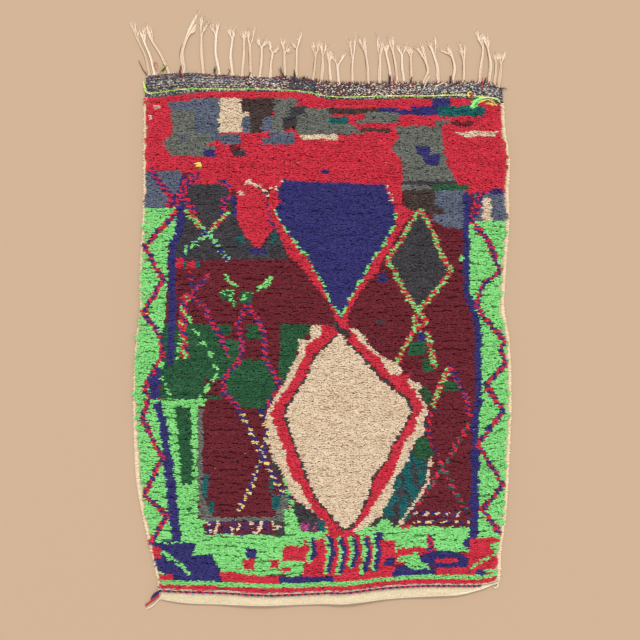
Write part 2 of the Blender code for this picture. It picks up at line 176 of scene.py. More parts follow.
RED_END = [
    block("red", -49, 38, 49, 64),
    Patch("slate", [
        (-39.5, 59.3), (-28.5, 60.7), (-26.3, 60.7), (-26.3, 51.5), (-32.5, 51.5), (-32.5, 57.5),
        (-38, 57.5)]),
    block("moss", -38, 51.5, -32.5, 57.6),
    Patch("moss", [
        (-40.5, 49.5), (-38, 51.5), (-28.5, 51.5), (-27.2, 49.8), (-29.5, 49), (-27.2, 48.6),
        (-27.2, 47.4), (-30, 46), (-38, 46), (-39.5, 48)]),
    *blocks("slate", (-28.5, 50, -26, 51.6), (-26, 49, -21, 51.6)),
    block("navy", -30, 45.8, -27.2, 47.6),
    block("cream", -26.3, 52, -20, 60.5),
    *blocks("brown", (-20.8, 57, -12.6, 60.5), (-18.8, 52, -15.5, 57.2), (-15.6, 55.8, -13, 57.2)),
    block("cream", -20.8, 55.9, -19, 57),
    *blocks("slate", (-20.5, 52, -18.5, 56), (-15.5, 52, -13, 56)),
    *blocks("moss", (-12.6, 56, -6.8, 60.5), (-13, 52, -10.3, 56)),
    *blocks("charcoal", (-8.5, 56, -4.6, 58.5), (-10.3, 54, -6.8, 56)),
    block("brown", -10.3, 52.7, -6.8, 54),
    *blocks("moss", (-4.6, 51.5, 1.5, 58), (-7, 51.5, -4.5, 56.2)),
    Patch("moss", [(1.5, 54.2), (6.5, 54.2), (10.5, 51.5), (1.5, 51.5)]),
    *blocks("slate", (-13.5, 50.4, -7.6, 52), (-15.5, 49, -7.6, 50.4)),
    block("wine", -24, 47.3, -21.5, 48.8),
    block("charcoal", -23, 46, -19.4, 47.6),
    block("yellow", -32.2, 43.2, -30.7, 44.2),
    block("slate", -36, 50.2, -34.3, 51.4),
    block("cream", -6, 50.2, 3.5, 51.5),
    block("navy", -1, 41.5, 1.2, 42.6),
    *blocks("cream", (-42.6, 57.8, -41.2, 58.8), (-43.8, 55.3, -43, 56.3)),
    block("brown", 1.2, 56.5, 13.6, 58),
    *blocks("navy", (13.6, 57, 18.5, 58.2), (18.5, 56.4, 21.5, 57.6), (21.5, 56.3, 28.5, 58.5)),
    block("teal", 28.5, 56, 40, 58.5),
    block("navy", 27.2, 58.5, 31.5, 60.6),
    *blocks("moss", (10.4, 54.4, 18.5, 57), (7.8, 54, 10.4, 55.1)),
    block("teal", 1.2, 54.2, 5.8, 55.8),
    block("brown", 9, 52.1, 16.8, 53),
    block("red", 28, 36.8, 46, 38.2),
    Patch("moss", [
        (17.5, 53.5), (27.5, 53.5), (28, 55), (32, 55), (29.5, 53.5), (29.5, 49), (30.5, 45), (33, 39.5),
        (19.5, 39.5), (19.5, 45), (17, 47.5), (17.5, 50), (19.5, 50.5), (18.5, 51.5)]),
    *blocks("navy", (23, 46.4, 26.5, 48.5), (25, 43.8, 29, 46.4)),
    block("wine", 32, 53.5, 37.5, 54.8),
    block("cream", 35, 50.9, 43, 52.3),
    Outline("cream red", 0.9, [(33.4, 51.8), (35.2, 51.5)], 0.5),
    Outline("lime", 1.4, [(37.0, 58.5), (38.2, 59.8), (40, 60.3)]),
    Outline("yellow", 0.6, [(40.5, 59.4), (43, 59)]),
]

RIGHT_SHOULDER = [
    block("charcoal", 19.4, 38.7, 33, 39.8),
    block("moss", 19.4, 37.6, 26.5, 38.8),
    block("forest", 26.5, 37.5, 36, 38.9),
    Patch("slate", [(27.4, 37.5), (35, 37.5), (35, 27.5), (30, 28.5), (27, 30)]),
    Patch("brown", [(20, 37.6), (27.6, 37.6), (27.6, 33.5), (30, 32.8), (30, 31.6), (20, 31.9)]),
    block("slate", 37, 29.8, 47, 37),
    block("navy", 41.2, 36.7, 44.8, 37.8),
    block("cream", 39.6, 29.8, 41.6, 35.5),
]

LEFT_SHOULDER = [
    *blocks("slate", (-49, 32.7, -39, 42.4), (-39, 39, -35.4, 42.4), (-39, 36, -36.2, 39)),
    *blocks("navy", (-38.6, 32.5, -34, 36.4), (-36.2, 37.6, -34.2, 40.8)),
    block("wine", -35.2, 40.8, -32, 42),
    Patch("charcoal", [
        (-34, 38.8), (-25.5, 39.3), (-24, 36.5), (-20.5, 35.5), (-11, 33), (-9, 20.2), (-36.8, 20.2),
        (-37.2, 26), (-35.5, 30)]),
    Outline("red navy", 1.6, [(-43.5, 42.6), (-41, 39.3), (-38.5, 36), (-39, 32.8)]),
    Outline("red navy", 2.2, [(-32, 41.5), (-34.5, 39), (-36, 36.5), (-38, 34), (-39, 32.8)]),
    Outline("red navy", 1.6, [(-36.5, 36.5), (-34.5, 35), (-32.5, 32.3)]),
    Outline("navy red", 1.4, [(-25.8, 40), (-23.5, 38)]),
    Outline("red navy", 1.4, [(-23.5, 36), (-25, 34.8), (-25.5, 31.6)]),
    Outline("red navy", 2.4, [(-13.5, 34.5), (-13.5, 28.3)]),
    Patch("red", [
        (-22, 39), (-14.5, 39), (-14.5, 31), (-13.5, 27), (-16.5, 22.6), (-20, 26), (-22.3, 31.5)]),
    block("navy", -22.9, 31, -22, 36),
    *blocks("teal", (-21.6, 24.2, -20, 26.2), (-13.3, 24.2, -12, 26.7)),
    block("navy", -19, 21.6, -14.3, 22.9),
    *blocks("cream", (-20, 39, -18, 40), (-21.6, 36, -20.2, 37.2)),
    Outline("cream charcoal", 1.0, [(-17, 38.8), (-13.5, 36)]),
    Outline("cream red", 1.2, [(-13.2, 38.2), (-11.2, 35), (-12, 33.5)]),
    Outline("lime lime navy", 1.3, [(-28, 28), (-35.5, 21.4)], 0.7),
    Outline("lime red", 1.3, [(-24.3, 31.8), (-28, 28)], 0.5),
    Outline("lime red", 1.3, [(-34.6, 32.2), (-33, 31), (-30.5, 27.8)], 0.5),
    Outline("lime navy", 1.3, [(-30.5, 27.8), (-28.5, 26.4), (-24, 20)], 0.6),
]

LEFT_FIELD = [
    *blocks("forest", (-41, -14.8, -25.4, 4), (-31.5, 1.3, -23.3, 4)),
    Patch("forest", [(-26, 0.2), (-21.2, 0.2), (-21.4, -5), (-24.8, -9), (-26, -9.6)]),
    *blocks("wine", (-30.2, -44.3, -12, -14.6), (-29.8, -13.7, -25.4, -9.8)),
    Patch("forest", [
        (-24.3, -8.5), (-20.4, -4.6), (-14, -4.6), (-11.5, -10.3), (-12.3, -14), (-14.5, -17),
        (-21.5, -17), (-24.8, -13)]),
    block("forest", -19.5, 0.4, -16, 4),
    Patch("forest", [
        (-11, 4), (-2.5, 4), (-5.5, -0.3), (-6.8, -3.6), (-8.4, -6.5), (-9.5, -9.5), (-11.5, -12)]),
    block("red", -37.8, 18, -35.4, 20.6),
    block("teal", -35.3, 18, -34.4, 19.6),
    block("red", -34.5, 18, -32.2, 19.8),
    block("teal", -32.2, 18.2, -31.2, 19.6),
    Outline("red wine navy", 1.2, [(-34.2, 17.1), (-32.4, 13)], 0.7),
    Outline("red navy", 1.2, [
        (-28.8, 16.4), (-33.8, 11.1), (-29.6, 8.1), (-28.8, 5.3), (-26.6, 2.3), (-24.8, -1.5),
        (-24.1, -4)]),
    Outline("red navy red lime", 2.2, [(-35, 10.5), (-35.5, 3), (-34.8, -3.6)]),
    Outline("lime lime forest", 0.9, [
        (-34, 6), (-31.5, 1.2), (-29.6, -1.5), (-28, -4.6), (-26.5, -8.2), (-28.8, -11.3),
        (-30.8, -14)], 1.1),
    Outline("lime forest", 0.9, [(-36, -0.2), (-37.6, -5.4)], 0.9),
    Outline("lime forest", 0.9, [(-40.3, -5.8), (-41.8, -8.3), (-39.6, -10.8), (-38.8, -13.9)], 1.0),
    Outline("lime", 0.9, [(-24.4, 16.2), (-23.7, 14.2), (-21.8, 13.6)]),
    Outline("lime", 1.3, [(-16.3, 13.3), (-14.6, 13.8), (-13.2, 15.6)]),
    block("forest", -25.6, 9.8, -23, 12),
    Outline("lime forest", 1.1, [(-25.6, 11.7), (-23.4, 12.2), (-23.4, 10.2), (-22.4, 9.2)], 0.6),
    block("forest", -21.3, 9.4, -18.1, 12.3),
    Outline("lime forest", 1.0, [(-20.8, 9.8), (-18.5, 12)], 0.6),
    Outline("red navy", 1.3, [
        (-19.5, 8.8), (-21.6, 4), (-20.8, 0.6), (-20.4, -1.9), (-21.4, -5.3), (-25, -9.3),
        (-24.8, -13.6), (-22.3, -15.4), (-21.4, -17.6)]),
    Outline("red navy", 1.3, [
        (-19.5, 8.8), (-16.4, 4.6), (-15.1, 1.5), (-14.9, -4.6), (-11.4, -10.5), (-12, -13.6),
        (-14.3, -16.4)]),
    Outline("charcoal", 1.2, [(-13.4, -29), (-12, -32), (-9.8, -34.6)]),
    Outline("navy navy straw", 1.2, [
        (-21.4, -17.6), (-18.6, -22.5), (-16.2, -27.5), (-14.1, -31.7), (-11.4, -36.4), (-9.6, -39.6),
        (-8.8, -43)], 0.65),
    Outline("lime lime navy", 1.0, [(-10, -34.6), (-9.1, -38), (-7.9, -41.5), (-7.6, -44.2)], 0.9),
    Outline("navy navy straw", 1.2, [
        (-15.6, -17.9), (-14.4, -21), (-14.8, -24.5), (-15.1, -28), (-18.3, -36.4), (-21.2, -42.4)], 0.65),
]

LEFT_BORDER = [
    Patch("lime", [
        (-49, 33), (-37, 33), (-36.8, 28.3), (-37.8, 24.8), (-39.2, 23.5), (-39.2, 16.5), (-39.6, 8),
        (-40.5, -4), (-42, -14.8), (-42, -50.5), (-49, -50.5)]),
    block("lime", -42.4, -51, -31.5, -14.7),
    Patch("forest", [(-37.4, -16.6), (-33.4, -16.6), (-32.8, -35.9), (-35.5, -35.9), (-36.5, -27.5)]),
    block("lime", -34, -16.4, -29.6, -14.7),
    block("moss", -31.6, -36.8, -30.4, -17.2),
    Patch("moss", [
        (-31.6, -36.2), (-30.5, -36.2), (-30.2, -39.5), (-28.2, -43), (-28, -44.6), (-31, -44.6)]),
    block("moss", -12, -45.3, -9.2, -38.6),
    Patch("teal", [(-30.2, -33.4), (-28.6, -33.6), (-28.8, -36), (-29.4, -39.2), (-30.5, -39)]),
    *blocks("teal", (-28.9, -43, -27.4, -40), (-13.7, -37.8, -12.4, -34.6), (-13, -42.4, -11.4, -38.6)),
    block("forest", -34.5, -42.8, -32.8, -41.7),
    Outline("navy", 1.8, [
        (-35.8, 31.9), (-36.4, 26.6), (-38, 23.3), (-38.1, 16.5), (-38, 8.1), (-38.4, 1.3), (-38.5, -5.5)]),
    block("navy", -43.6, -14.8, -41.1, -7),
    Outline("navy", 1.8, [(-41.6, -16.3), (-39.9, -22.5), (-39.3, -28.8)]),
    Outline("navy", 2.4, [(-39.3, -28.8), (-38.3, -36.8), (-37.8, -43), (-37, -49.1)]),
    Outline("red navy", 1.3, [
        (-36.8, 31.9), (-41.4, 27.3), (-44.9, 23.3), (-40.3, 15.1), (-45.1, 6.9), (-41.1, 1.5),
        (-40.5, -3.6), (-44.9, -11.8), (-43.9, -14.9), (-45.6, -19.5), (-40.5, -29.4), (-45, -38.4),
        (-39.3, -43.9), (-43.3, -50.4), (-41.8, -53.8)]),
]

NAVY_LOZENGE = [
    Patch("red", [
        (-13, 39.5), (-14, 33), (-11.8, 27.5), (-8.6, 20.5), (-5.9, 18.9), (-2.8, 14), (1.5, 9),
        (3.4, 3.5), (5.6, 3.5), (6.3, 7.5), (10.3, 13.9), (13.3, 17), (15, 20.8), (17.6, 25),
        (19.5, 28.5), (22.6, 31.9), (19.5, 34), (19.5, 39.5)]),
    Patch("navy", [
        (-10.2, 40), (15.5, 38.9), (16.5, 35.8), (18, 31.5), (17, 27.5), (14.5, 23.5), (11, 18.3),
        (6, 10), (4.3, 5.6), (2.2, 8.4), (-0.5, 14), (-3.5, 19.8), (-6.5, 23.5), (-9.5, 27.5),
        (-12.5, 32.5), (-11, 34.7), (-12, 37.7)]),
    Outline("lime lime lime navy", 0.6, [
        (-12.5, 32.5), (-9.5, 27.5), (-6.5, 23.5), (-3.5, 19.8), (-0.5, 14), (2.2, 8.4), (4.3, 5.6),
        (6, 10), (11, 18.3), (14.5, 23.5), (17, 27.5), (18, 31.5)], 1.0),
    Outline("cream red", 0.8, [(-10.5, 40), (-12.5, 37.5)]),
    Outline("cream red", 0.8, [(15.5, 38.8), (17, 35)]),
    block("red", 3.8, 3, 5.5, 5.6),
]

CREAM_EDGE = [
    (4, 1.9), (7.4, -2.1), (9.9, -4.6), (13.3, -8.4), (17, -11.8), (20.5, -14.3), (22, -17.8),
    (18.9, -23.6), (17, -26.4), (16.1, -29.4), (12, -34.6), (11.1, -39), (8.4, -44.6), (5.3, -48),
    (2.4, -44.9), (-2.3, -39.4), (-4.5, -34), (-7, -27.5), (-9, -22), (-10.1, -18.5), (-8.7, -15.5),
    (-4.6, -9), (-2, -3.5), (2, 0)]

CREAM_LOZENGE = [
    Patch("cream", [
        (-2.8, 4), (7.4, 3), (9.3, 1.8), (12.8, -3), (19.2, -6.6), (19.4, -8.4), (21.9, -10.4),
        (24.9, -11.4), (23.4, -12.4), (25.6, -16.4), (25.8, -18), (24.8, -20.2), (24.8, -23.6),
        (22.6, -25.4), (20.8, -30.2), (17.8, -34.4), (17.2, -37.8), (15.4, -41.5), (14, -44.2),
        (10.3, -46.8), (4, -49.3), (-2, -44), (-4.8, -42.4), (-7.2, -39.8), (-9.2, -36.8),
        (-10.2, -33.8), (-13, -29.3), (-14, -26), (-13.9, -22.4), (-14.5, -18.4), (-12.9, -14.8),
        (-9.9, -10.2), (-7.8, -5.5), (-6.2, -3), (-6.4, 0.3), (-3.7, -0.2)]),
    Patch("red", [
        (-0.6, 3.9), (-0.9, 1.4), (-4.7, -1.4), (-4.9, -3.9), (-7.3, -8.8), (-11.4, -14.8), (-13.6, -18),
        (-12.6, -21), (-9.9, -27.3), (-9.2, -31), (-8.2, -34.4), (-6.4, -35.8), (-4.2, -40), (-2.4, -43),
        (-0.2, -45.6), (2.4, -49), (4, -49.8), (9, -46.1), (13, -40), (17, -33.8), (19.2, -27.6),
        (20.8, -24.2), (22.7, -22.4), (23, -19.6), (24.8, -17), (22.9, -12.9), (20.6, -10.4),
        (21.4, -8.2), (18.6, -8.6), (16.4, -8.6), (13.9, -4.4), (10.8, -2.1), (6.1, 3.2)]),
    Patch("cream", CREAM_EDGE),
    Outline("charcoal brown", 0.6, CREAM_EDGE + CREAM_EDGE[:1]),
    Outline("charcoal wine", 1.1, [(13, -8.4), (17.2, -11.8)], 1.3),
    Patch("charcoal", [
        (2.2, 4.7), (3.7, 4.5), (4, 3), (5.4, 2.7), (7, 1), (6.1, 0.5), (4.6, 1.7), (2.6, 2.4)]),
]

SMALL_LOZENGE = [
    (24.1, 32.5), (27, 27.5), (28.9, 22), (31.6, 17.5), (28.3, 12.6), (23.5, 7.3), (20.1, 12),
    (17.6, 17), (15.5, 19.8), (19.3, 25), (22.9, 31.3)]

RIGHT_FIELD = [
    Patch("charcoal", SMALL_LOZENGE),
    Outline("lime red", 1.2, SMALL_LOZENGE + SMALL_LOZENGE[:1], 0.6),
    block("navy", 13.3, 14.4, 15.6, 16.5),
    block("charcoal", 12.9, 4.1, 15, 4.9),
    block("lime", 33.8, 20, 35.1, 21.3),
    block("navy", 23.2, -0.3, 25.4, 2),
    *blocks("forest", (21, -3.8, 25.4, -0.3), (24.5, -8, 27.4, -4.6), (30, -12.8, 33.6, -10.2)),
    Patch("forest", [(22.9, -11.8), (25.2, -11.2), (27.2, -14), (26, -16.6), (25, -15.8), (25, -13.8)]),
    block("forest", 22.5, -28.8, 27.4, -24.3),
    block("charcoal", 24.8, -24.3, 26.4, -20.2),
    Outline("lime red", 1.2, [(23.6, 7), (22.3, 4.7), (24, 2.8), (25.7, 4.7), (23.8, 7)]),
    Outline("lime red", 1.2, [(22.6, 2.9), (20.8, -0.3), (18, -5.9)]),
    Outline("lime red", 1.2, [(25.8, 1.9), (26.6, -1.9), (27.6, -6.5)]),
    Patch("charcoal", [
        (21.4, -27.5), (26.6, -27.5), (26.2, -34), (23.5, -39.4), (19.5, -46.3), (11.5, -46.3),
        (14.1, -40), (17.5, -33.8)]),
    *[leaf("teal", x, y) for x, y in (
        (21.2, -29.6), (20.6, -32.8), (24, -30.6), (24.4, -34), (18, -35.4), (21, -36), (22.6, -38.2),
        (17, -39.4), (19.8, -40.6), (16, -42.8), (20.2, -43.6))],
    block("forest", 22.5, -29.6, 26.4, -26.5),
    Outline("cream", 0.6, [
        (26.6, -29.4), (26, -33.1), (25.8, -35.6), (23.5, -39.4), (21.1, -42.8), (18.9, -45.9)]),
    Outline("red navy", 1.3, [(31.4, -6.8), (33.8, -11), (35.4, -13.9), (35.8, -17.3), (36.8, -19.6)]),
    Outline("red wine teal", 1.3, [
        (36.8, -19.6), (35, -23.1), (32.7, -26), (31.4, -29.4), (27.3, -35.3), (21.8, -43.6)], 0.7),
    Outline("red lime", 1.3, [(31, -7.4), (28.6, -12), (27, -17)], 0.65),
    Outline("navy wine red", 1.1, [(27, -17), (25.8, -22), (26.6, -24.9), (28.9, -30.6)], 0.7),
    Outline("red teal wine", 1.2, [(28.9, -30.6), (32, -36.9), (35.6, -42.4)], 0.7),
]

RIGHT_BORDER = [
    Patch("lime", [
        (36, 29.8), (49, 29.8), (49, -50), (38, -50), (38.5, -30), (38.3, -17), (39.3, -10), (39.3, 3),
        (37.5, 6), (36.3, 12)]),
    Outline("navy", 1.7, [
        (35.5, 36.3), (35.5, 12.5), (36.8, 8.8), (38.4, 3.5), (38.6, -16.3), (37.8, -18), (37.8, -28.8)]),
    Outline("navy", 2.2, [(37.9, -27), (37.6, -36), (37.4, -48.6)]),
    Outline("red navy", 2.0, [(39.2, 36.4), (37.4, 31.5)], 0.8),
    Outline("red navy", 1.3, [
        (39, 36), (37.5, 34), (36.8, 30), (41.3, 24.4), (43.8, 17.6), (39.4, 13.3), (37.9, 9.5),
        (39.8, 5.8), (45.2, -0.3), (44.1, -1.9), (45.2, -5.9), (40.4, -11.1), (44.8, -17.8),
        (38.3, -26.1), (41.3, -30.6), (44.6, -36.3), (39.4, -42.4), (44.2, -48.4)]),
]

PLAIN_END = [
    *blocks("lime", (-42, -58.8, -5.3, -44.8), (-5.3, -53, 37, -46.5)),
]

PLAIN_END_MOTIFS = [
    block("moss", -30.2, -45.3, -9.2, -44.2),
    block("wine", -30, -48.6, -10, -45.2),
    *comb("cream navy navy", -29.2, -13, -45.4, -48.4, 0.9),
    block("charcoal", -12.4, -48.6, -10, -45.2),
    block("lime", -9.8, -48.6, -7.2, -42.2),
    Patch("lime", [(12.2, -47.4), (13.6, -45.4), (15.2, -44.2), (17, -46), (17, -47.6)]),
    Patch("red", [
        (1, -47.6), (6, -47.4), (8, -48.7), (12.5, -48.9), (12.5, -51), (-3, -51), (-0.6, -49.6)]),
    block("cream", -12, -47.2, -11, -46.2),
    block("wine", 21.4, -46.6, 36.7, -42.4),
    *comb("navy wine", 22.2, 35.6, -42.7, -46.0, 0.95),
    Outline("cream wine navy", 0.9, [(22.4, -43.4), (33.4, -43.3)], 0.9),
    Outline("straw navy wine", 0.7, [(22.6, -45.4), (36, -45.4)], 1.1),
    block("red", 18.9, -46.9, 21.8, -46),
    Patch("charcoal", [
        (-7.8, -40.8), (-5.9, -40.8), (-2.5, -43.3), (-0.6, -45.1), (0, -47.3), (-2.1, -48.1),
        (-5.9, -47.6), (-7.1, -44.9)]),
    *blocks("magenta", (-5.6, -47.7, -4, -45.7), (-2.8, -47.4, -2, -45.5)),
    block("teal", -1.5, -48, 0.4, -45.1),
    Patch("navy", [
        (-42.4, -50.4), (-34, -50.4), (-32, -51.4), (-33, -53.7), (-28.4, -53.5), (-26.9, -56),
        (-25, -61.6), (-40, -61.6), (-43, -57.3)]),
    Outline("lime", 0.9, [(-40.5, -52.9), (-38, -54.8), (-35.5, -56.3), (-33.8, -58.5)]),
    block("red", -43.8, -54.4, -40.8, -51.4),
    block("lime", -42, -59.5, -39.9, -57.9),
    block("red", -42, -60.5, -37.8, -58.6),
    block("navy", -19.5, -54.5, -16.7, -52),
    *blocks("red", (-20.1, -57.3, -17.5, -54.8), (-13.6, -57, -11.3, -55), (-10.8, -58, -8.6, -56.9)),
    Patch("red", [
        (-26, -57.9), (-20, -58.4), (-14, -58.9), (-11.4, -58.9), (-11.4, -62.4), (-25.4, -62.4)]),
    block("navy", -11.4, -62.4, 2.5, -59),
    *blocks("red", (-10.3, -55.2, -5, -51.3), (-5.3, -59, 17.8, -50), (2.5, -62.4, 17.8, -58)),
    block("navy", 12.4, -50, 14.6, -48),
    *blocks("red", (18.3, -53.3, 27.9, -51.8), (17.8, -56, 44, -53.3)),
    Patch("lime", [(18, -54.3), (23.3, -53), (26, -55.5), (26.6, -56.9), (21.4, -56.9), (19.5, -55.5)]),
    Patch("navy", [
        (23.3, -53.6), (28.3, -52.4), (33.5, -53), (36.9, -55), (36.9, -56.8), (27.6, -56.8),
        (24.8, -55.5)]),
    block("red", 27.9, -55.6, 33.3, -54.4),
    block("navy", 15.1, -56.4, 17.6, -54.3),
    Patch("navy", [(16.8, -58), (20.1, -55.8), (21.4, -57), (27.9, -57), (27.6, -58.6), (17.6, -59.4)]),
    *blocks("red", (27.9, -60, 38.1, -56.8), (17.8, -61.4, 36, -59.2), (36, -61, 45, -49.3)),
    Outline("red navy", 1.6, [(26.5, -49.3), (26.5, -52)]),
    *blocks("navy", (34.8, -51.8, 36.4, -49.3), (38.1, -59, 40.1, -57.3)),
    block("lime", 41.2, -52.4, 44, -50.6),
    Outline("lime lime red", 0.9, [(37.2, -56.6), (40, -54.8), (42.8, -53)], 0.7),
    Outline("lime", 0.8, [(40.2, -57.8), (42.8, -57.4)]),
    *[
        bent_tooth(*tooth, low)
        for x, low in ((-3.2, -54.6), (1.2, -57.6), (4.2, -58), (7.2, -56), (10.2, -58), (12.8, -57))
        for tooth in (("lime", 1.7, x - 0.4), ("navy", 1.1, x + 0.2))
    ],
]

CHART = (
    RED_END + RIGHT_SHOULDER + LEFT_SHOULDER + LEFT_FIELD + PLAIN_END + LEFT_BORDER + RIGHT_FIELD
    + RIGHT_BORDER + NAVY_LOZENGE + CREAM_LOZENGE + PLAIN_END_MOTIFS
)
BASE_YARN = "wine"
FINE_TURN = 0.7  # outlines with turns no longer than this alternate from side to side too

# Dyed wool for the knots: its shaded, middle and bright tone, painted light at its root against its
# tip (under 1 a painted shade between the tufts, over 1 painted light where their rendered shade is deep),
# and how far its rows part in millimetres
Wool = namedtuple("Wool", "deep middle bright root_tone stray")
WOOLS = {
    "red": Wool("#8E1B29", "#B12635", "#C23445", 1.2, 0.6),
    "wine": Wool("#4D171E", "#5C1C24", "#692530", 1.4, 2.3),
    "lime": Wool("#4D9649", "#70BA69", "#82C97B", 0.9, 2.4),
    "navy": Wool("#1E1C4B", "#2C285D", "#3A376E", 1.35, 0.9),
    "cream": Wool("#A3846A", "#C0AA8F", "#CDBCA4", 1.8, 0.6),
    "forest": Wool("#163822", "#224A2F", "#305E3F", 1.3, 0.9),
    "charcoal": Wool("#262426", "#363336", "#48454A", 1.2, 0.7),
    "brown": Wool("#291D1C", "#3C2F2B", "#4C3E3B", 1.2, 0.7),
    "slate": Wool("#3A414D", "#4F5563", "#656A7B", 1.15, 0.6),
    "moss": Wool("#44463B", "#5A5C55", "#70736C", 1.15, 0.6),
    "teal": Wool("#0E3739", "#165151", "#226767", 1.1, 0.6),
    "yellow": Wool("#C0AD45", "#D8C85C", "#DFD483", 0.8, 0.6),
    "straw": Wool("#B69050", "#CDAE6C", "#D9C593", 0.8, 0.6),
    "magenta": Wool("#7E2459", "#9E3472", "#B24F8A", 0.9, 0.6),
}
YARNS = list(WOOLS)

# Camera: 2.5 mm of the floor to a pixel, and the picture's middle on the floor
VIEW_WIDTH = 1.6
VIEW_CENTRE = (-0.2 * CM, -1.9 * CM)
LENS = 50.0
SENSOR = 36.0
PILE_LEVEL = 10 * MM

SEAT = 3.3 * MM  # the level on which the yarns stand
SHADES = 16  # yarn shades side by side on a piece's UV map


def mix(a, b, share):
    return a + (b - a) * share


def drawn(chance, middle, spread, count, low, high):
    """Normal draws, kept within bounds."""
    return np.clip(chance.normal(middle, spread, count), low, high)


def along(rows, column, at):
    """A table's column as a smooth curve, read at a place along its first column."""
    keys = [row[0] * CM for row in rows]
    values = [getattr(row, column) * CM for row in rows]
    last = len(keys) - 1
    i = min(max(bisect_right(keys, at) - 1, 0), last - 1)
    slopes = []
    for k in (i, i + 1):
        before, after = max(k - 1, 0), min(k + 1, last)
        slopes.append((values[after] - values[before]) / (keys[after] - keys[before]))
    width = keys[i + 1] - keys[i]
    t = min(max((at - keys[i]) / width, 0.0), 1.0)
    level = mix(values[i], values[i + 1], t * t * (3 - 2 * t))
    return level + t * (1 - t) * width * ((1 - t) * slopes[0] - t * slopes[1])


def on_cloth(across, lower, upper, share, side="ground"):
    """A point on the floor plan: across from the left side to the right one, and at a share of
    the way from one of the end table's lines to another. Each line is a column and an offset."""
    x = 0.0
    for _ in range(3):
        ends = [along(END_EDGES, column, x) + offset for column, offset in (lower, upper)]
        y = mix(ends[0], ends[1], share)
        left = along(SIDE_EDGES, side + "_left", y)
        right = along(SIDE_EDGES, side + "_right", y)
        x = mix(left, right, across)
    return Vector((x, y, 0.0))


def place_on_model():
    """The shift from the tables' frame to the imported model's, from the ground's box."""
    low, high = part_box("ground_weave")
    steps = [k / 60 for k in range(61)]
    lines = (("ground_bottom", 0.0), ("ground_top", 0.0))
    left = min(on_cloth(0.0, *lines, share).x for share in steps)
    top = max(on_cloth(share, *lines, 1.0).y for share in steps)
    return Vector((low.x - left, high.y - top, 0.0))


def inside(patch, x, y):
    """Which points lie in a patch, by counting the edges to the right of each."""
    result = np.zeros(len(x), bool)
    for (ax, ay), (bx, by) in zip(patch.corners, patch.corners[1:] + patch.corners[:1]):
        if ay != by:
            crossed = (ay > y) != (by > y)
            result ^= crossed & (x < ax + (y - ay) * (bx - ax) / (by - ay))
    return result


def beside(outline, x, y):
    """How far each point lies from an outline's route, and which turn of its yarns is there. The
    turns slant over its width, as on a two-coloured cord."""
    nearest = np.full(len(x), np.inf)
    turn = np.zeros(len(x))
    done = 0.0
    for (ax, ay), (bx, by) in zip(outline.route, outline.route[1:]):
        length = math.hypot(bx - ax, by - ay)
        ux, uy = (bx - ax) / length, (by - ay) / length
        reach = np.clip((x - ax) * ux + (y - ay) * uy, 0.0, length)
        away = np.hypot(x - ax - reach * ux, y - ay - reach * uy)
        side = (x - ax) * uy - (y - ay) * ux
        closer = away < nearest
        nearest[closer] = away[closer]
        turns = (done + reach + side) / outline.turn
        if outline.turn <= FINE_TURN:
            turns = (done + reach) / outline.turn + (side > 0)
        turn[closer] = turns[closer]
        done += length
    return nearest, np.floor(turn).astype(int)


def charted(x, y):
    """The yarn of each point, as an index into YARNS."""
    result = np.full(len(x), YARNS.index(BASE_YARN))
    for shape in CHART:
        if isinstance(shape, Patch):
            result[inside(shape, x, y)] = YARNS.index(shape.yarn)
        else:
            away, turn = beside(shape, x, y)
            there = away < shape.width / 2
            numbers = np.array([YARNS.index(yarn) for yarn in shape.yarns.split()])
            result[there] = numbers[turn[there] % len(numbers)]
    return result


def linear(colour):
    """An sRGB hex colour as linear RGBA."""
    channels = [int(colour[k:k + 2], 16) / 255 for k in (1, 3, 5)]
    return (*[c / 12.92 if c <= 0.04045 else ((c + 0.055) / 1.055) ** 2.4 for c in channels], 1.0)


def node(tree, kind, inputs=None, **settings):
    """Adds a node. Its kind is Blender's name for it without the family, and its operation may
    follow. Inputs, in order or by name, take a value, a node or socket to link from, or a list of
    those. Settings are its properties, a ramp's colour stops, or a curve's heights."""
    kind, *operation = kind.split()
    families = ("ShaderNode", "GeometryNode", "FunctionNode", "Node")
    made = tree.nodes.new(next(family + kind for family in families if hasattr(bpy.types, family + kind)))
    if operation:
        made.operation = operation[0]
    for name, value in settings.items():
        if name == "stops":
            ramp = made.color_ramp
            while len(ramp.elements) < len(value):
                ramp.elements.new(1.0)
            for element, (at, colour) in zip(ramp.elements, value):
                element.position = at
                element.color = linear(colour)
        elif name == "between_stops":
            made.color_ramp.interpolation = value
        elif name == "heights":
            points = made.mapping.curves[0].points
            for at, height in value[1:-1]:
                points.new(at, height)
            points[0].location = value[0]
            points[len(value) - 1].location = value[-1]
            made.mapping.update()
        else:
            setattr(made, name, value)
    sockets = [socket for socket in made.inputs if socket.enabled]
    for key, value in enumerate(inputs) if isinstance(inputs, list) else (inputs or {}).items():
        socket = sockets[key] if isinstance(key, int) else next(s for s in sockets if s.name == key)
        for source in value if isinstance(value, list) else [value]:
            if isinstance(source, bpy.types.Node):
                source = next(s for s in source.outputs if s.enabled)
            if isinstance(source, bpy.types.NodeSocket):
                tree.links.new(source, socket)
            else:
                socket.default_value = source
    return made


def new_tree(name, sizes):
    """A geometry tree with its geometry and material sockets and the named sizes between. Gives
    it with the outputs of its input node."""
    tree = bpy.data.node_groups.new(name, "GeometryNodeTree")
    for label, kind in {"Geometry": "Geometry", **sizes, "Material": "Material"}.items():
        tree.interface.new_socket(label, in_out="INPUT", socket_type="NodeSocket" + kind)
    tree.interface.new_socket("Geometry", in_out="OUTPUT", socket_type="NodeSocketGeometry")
    return tree, node(tree, "GroupInput").outputs


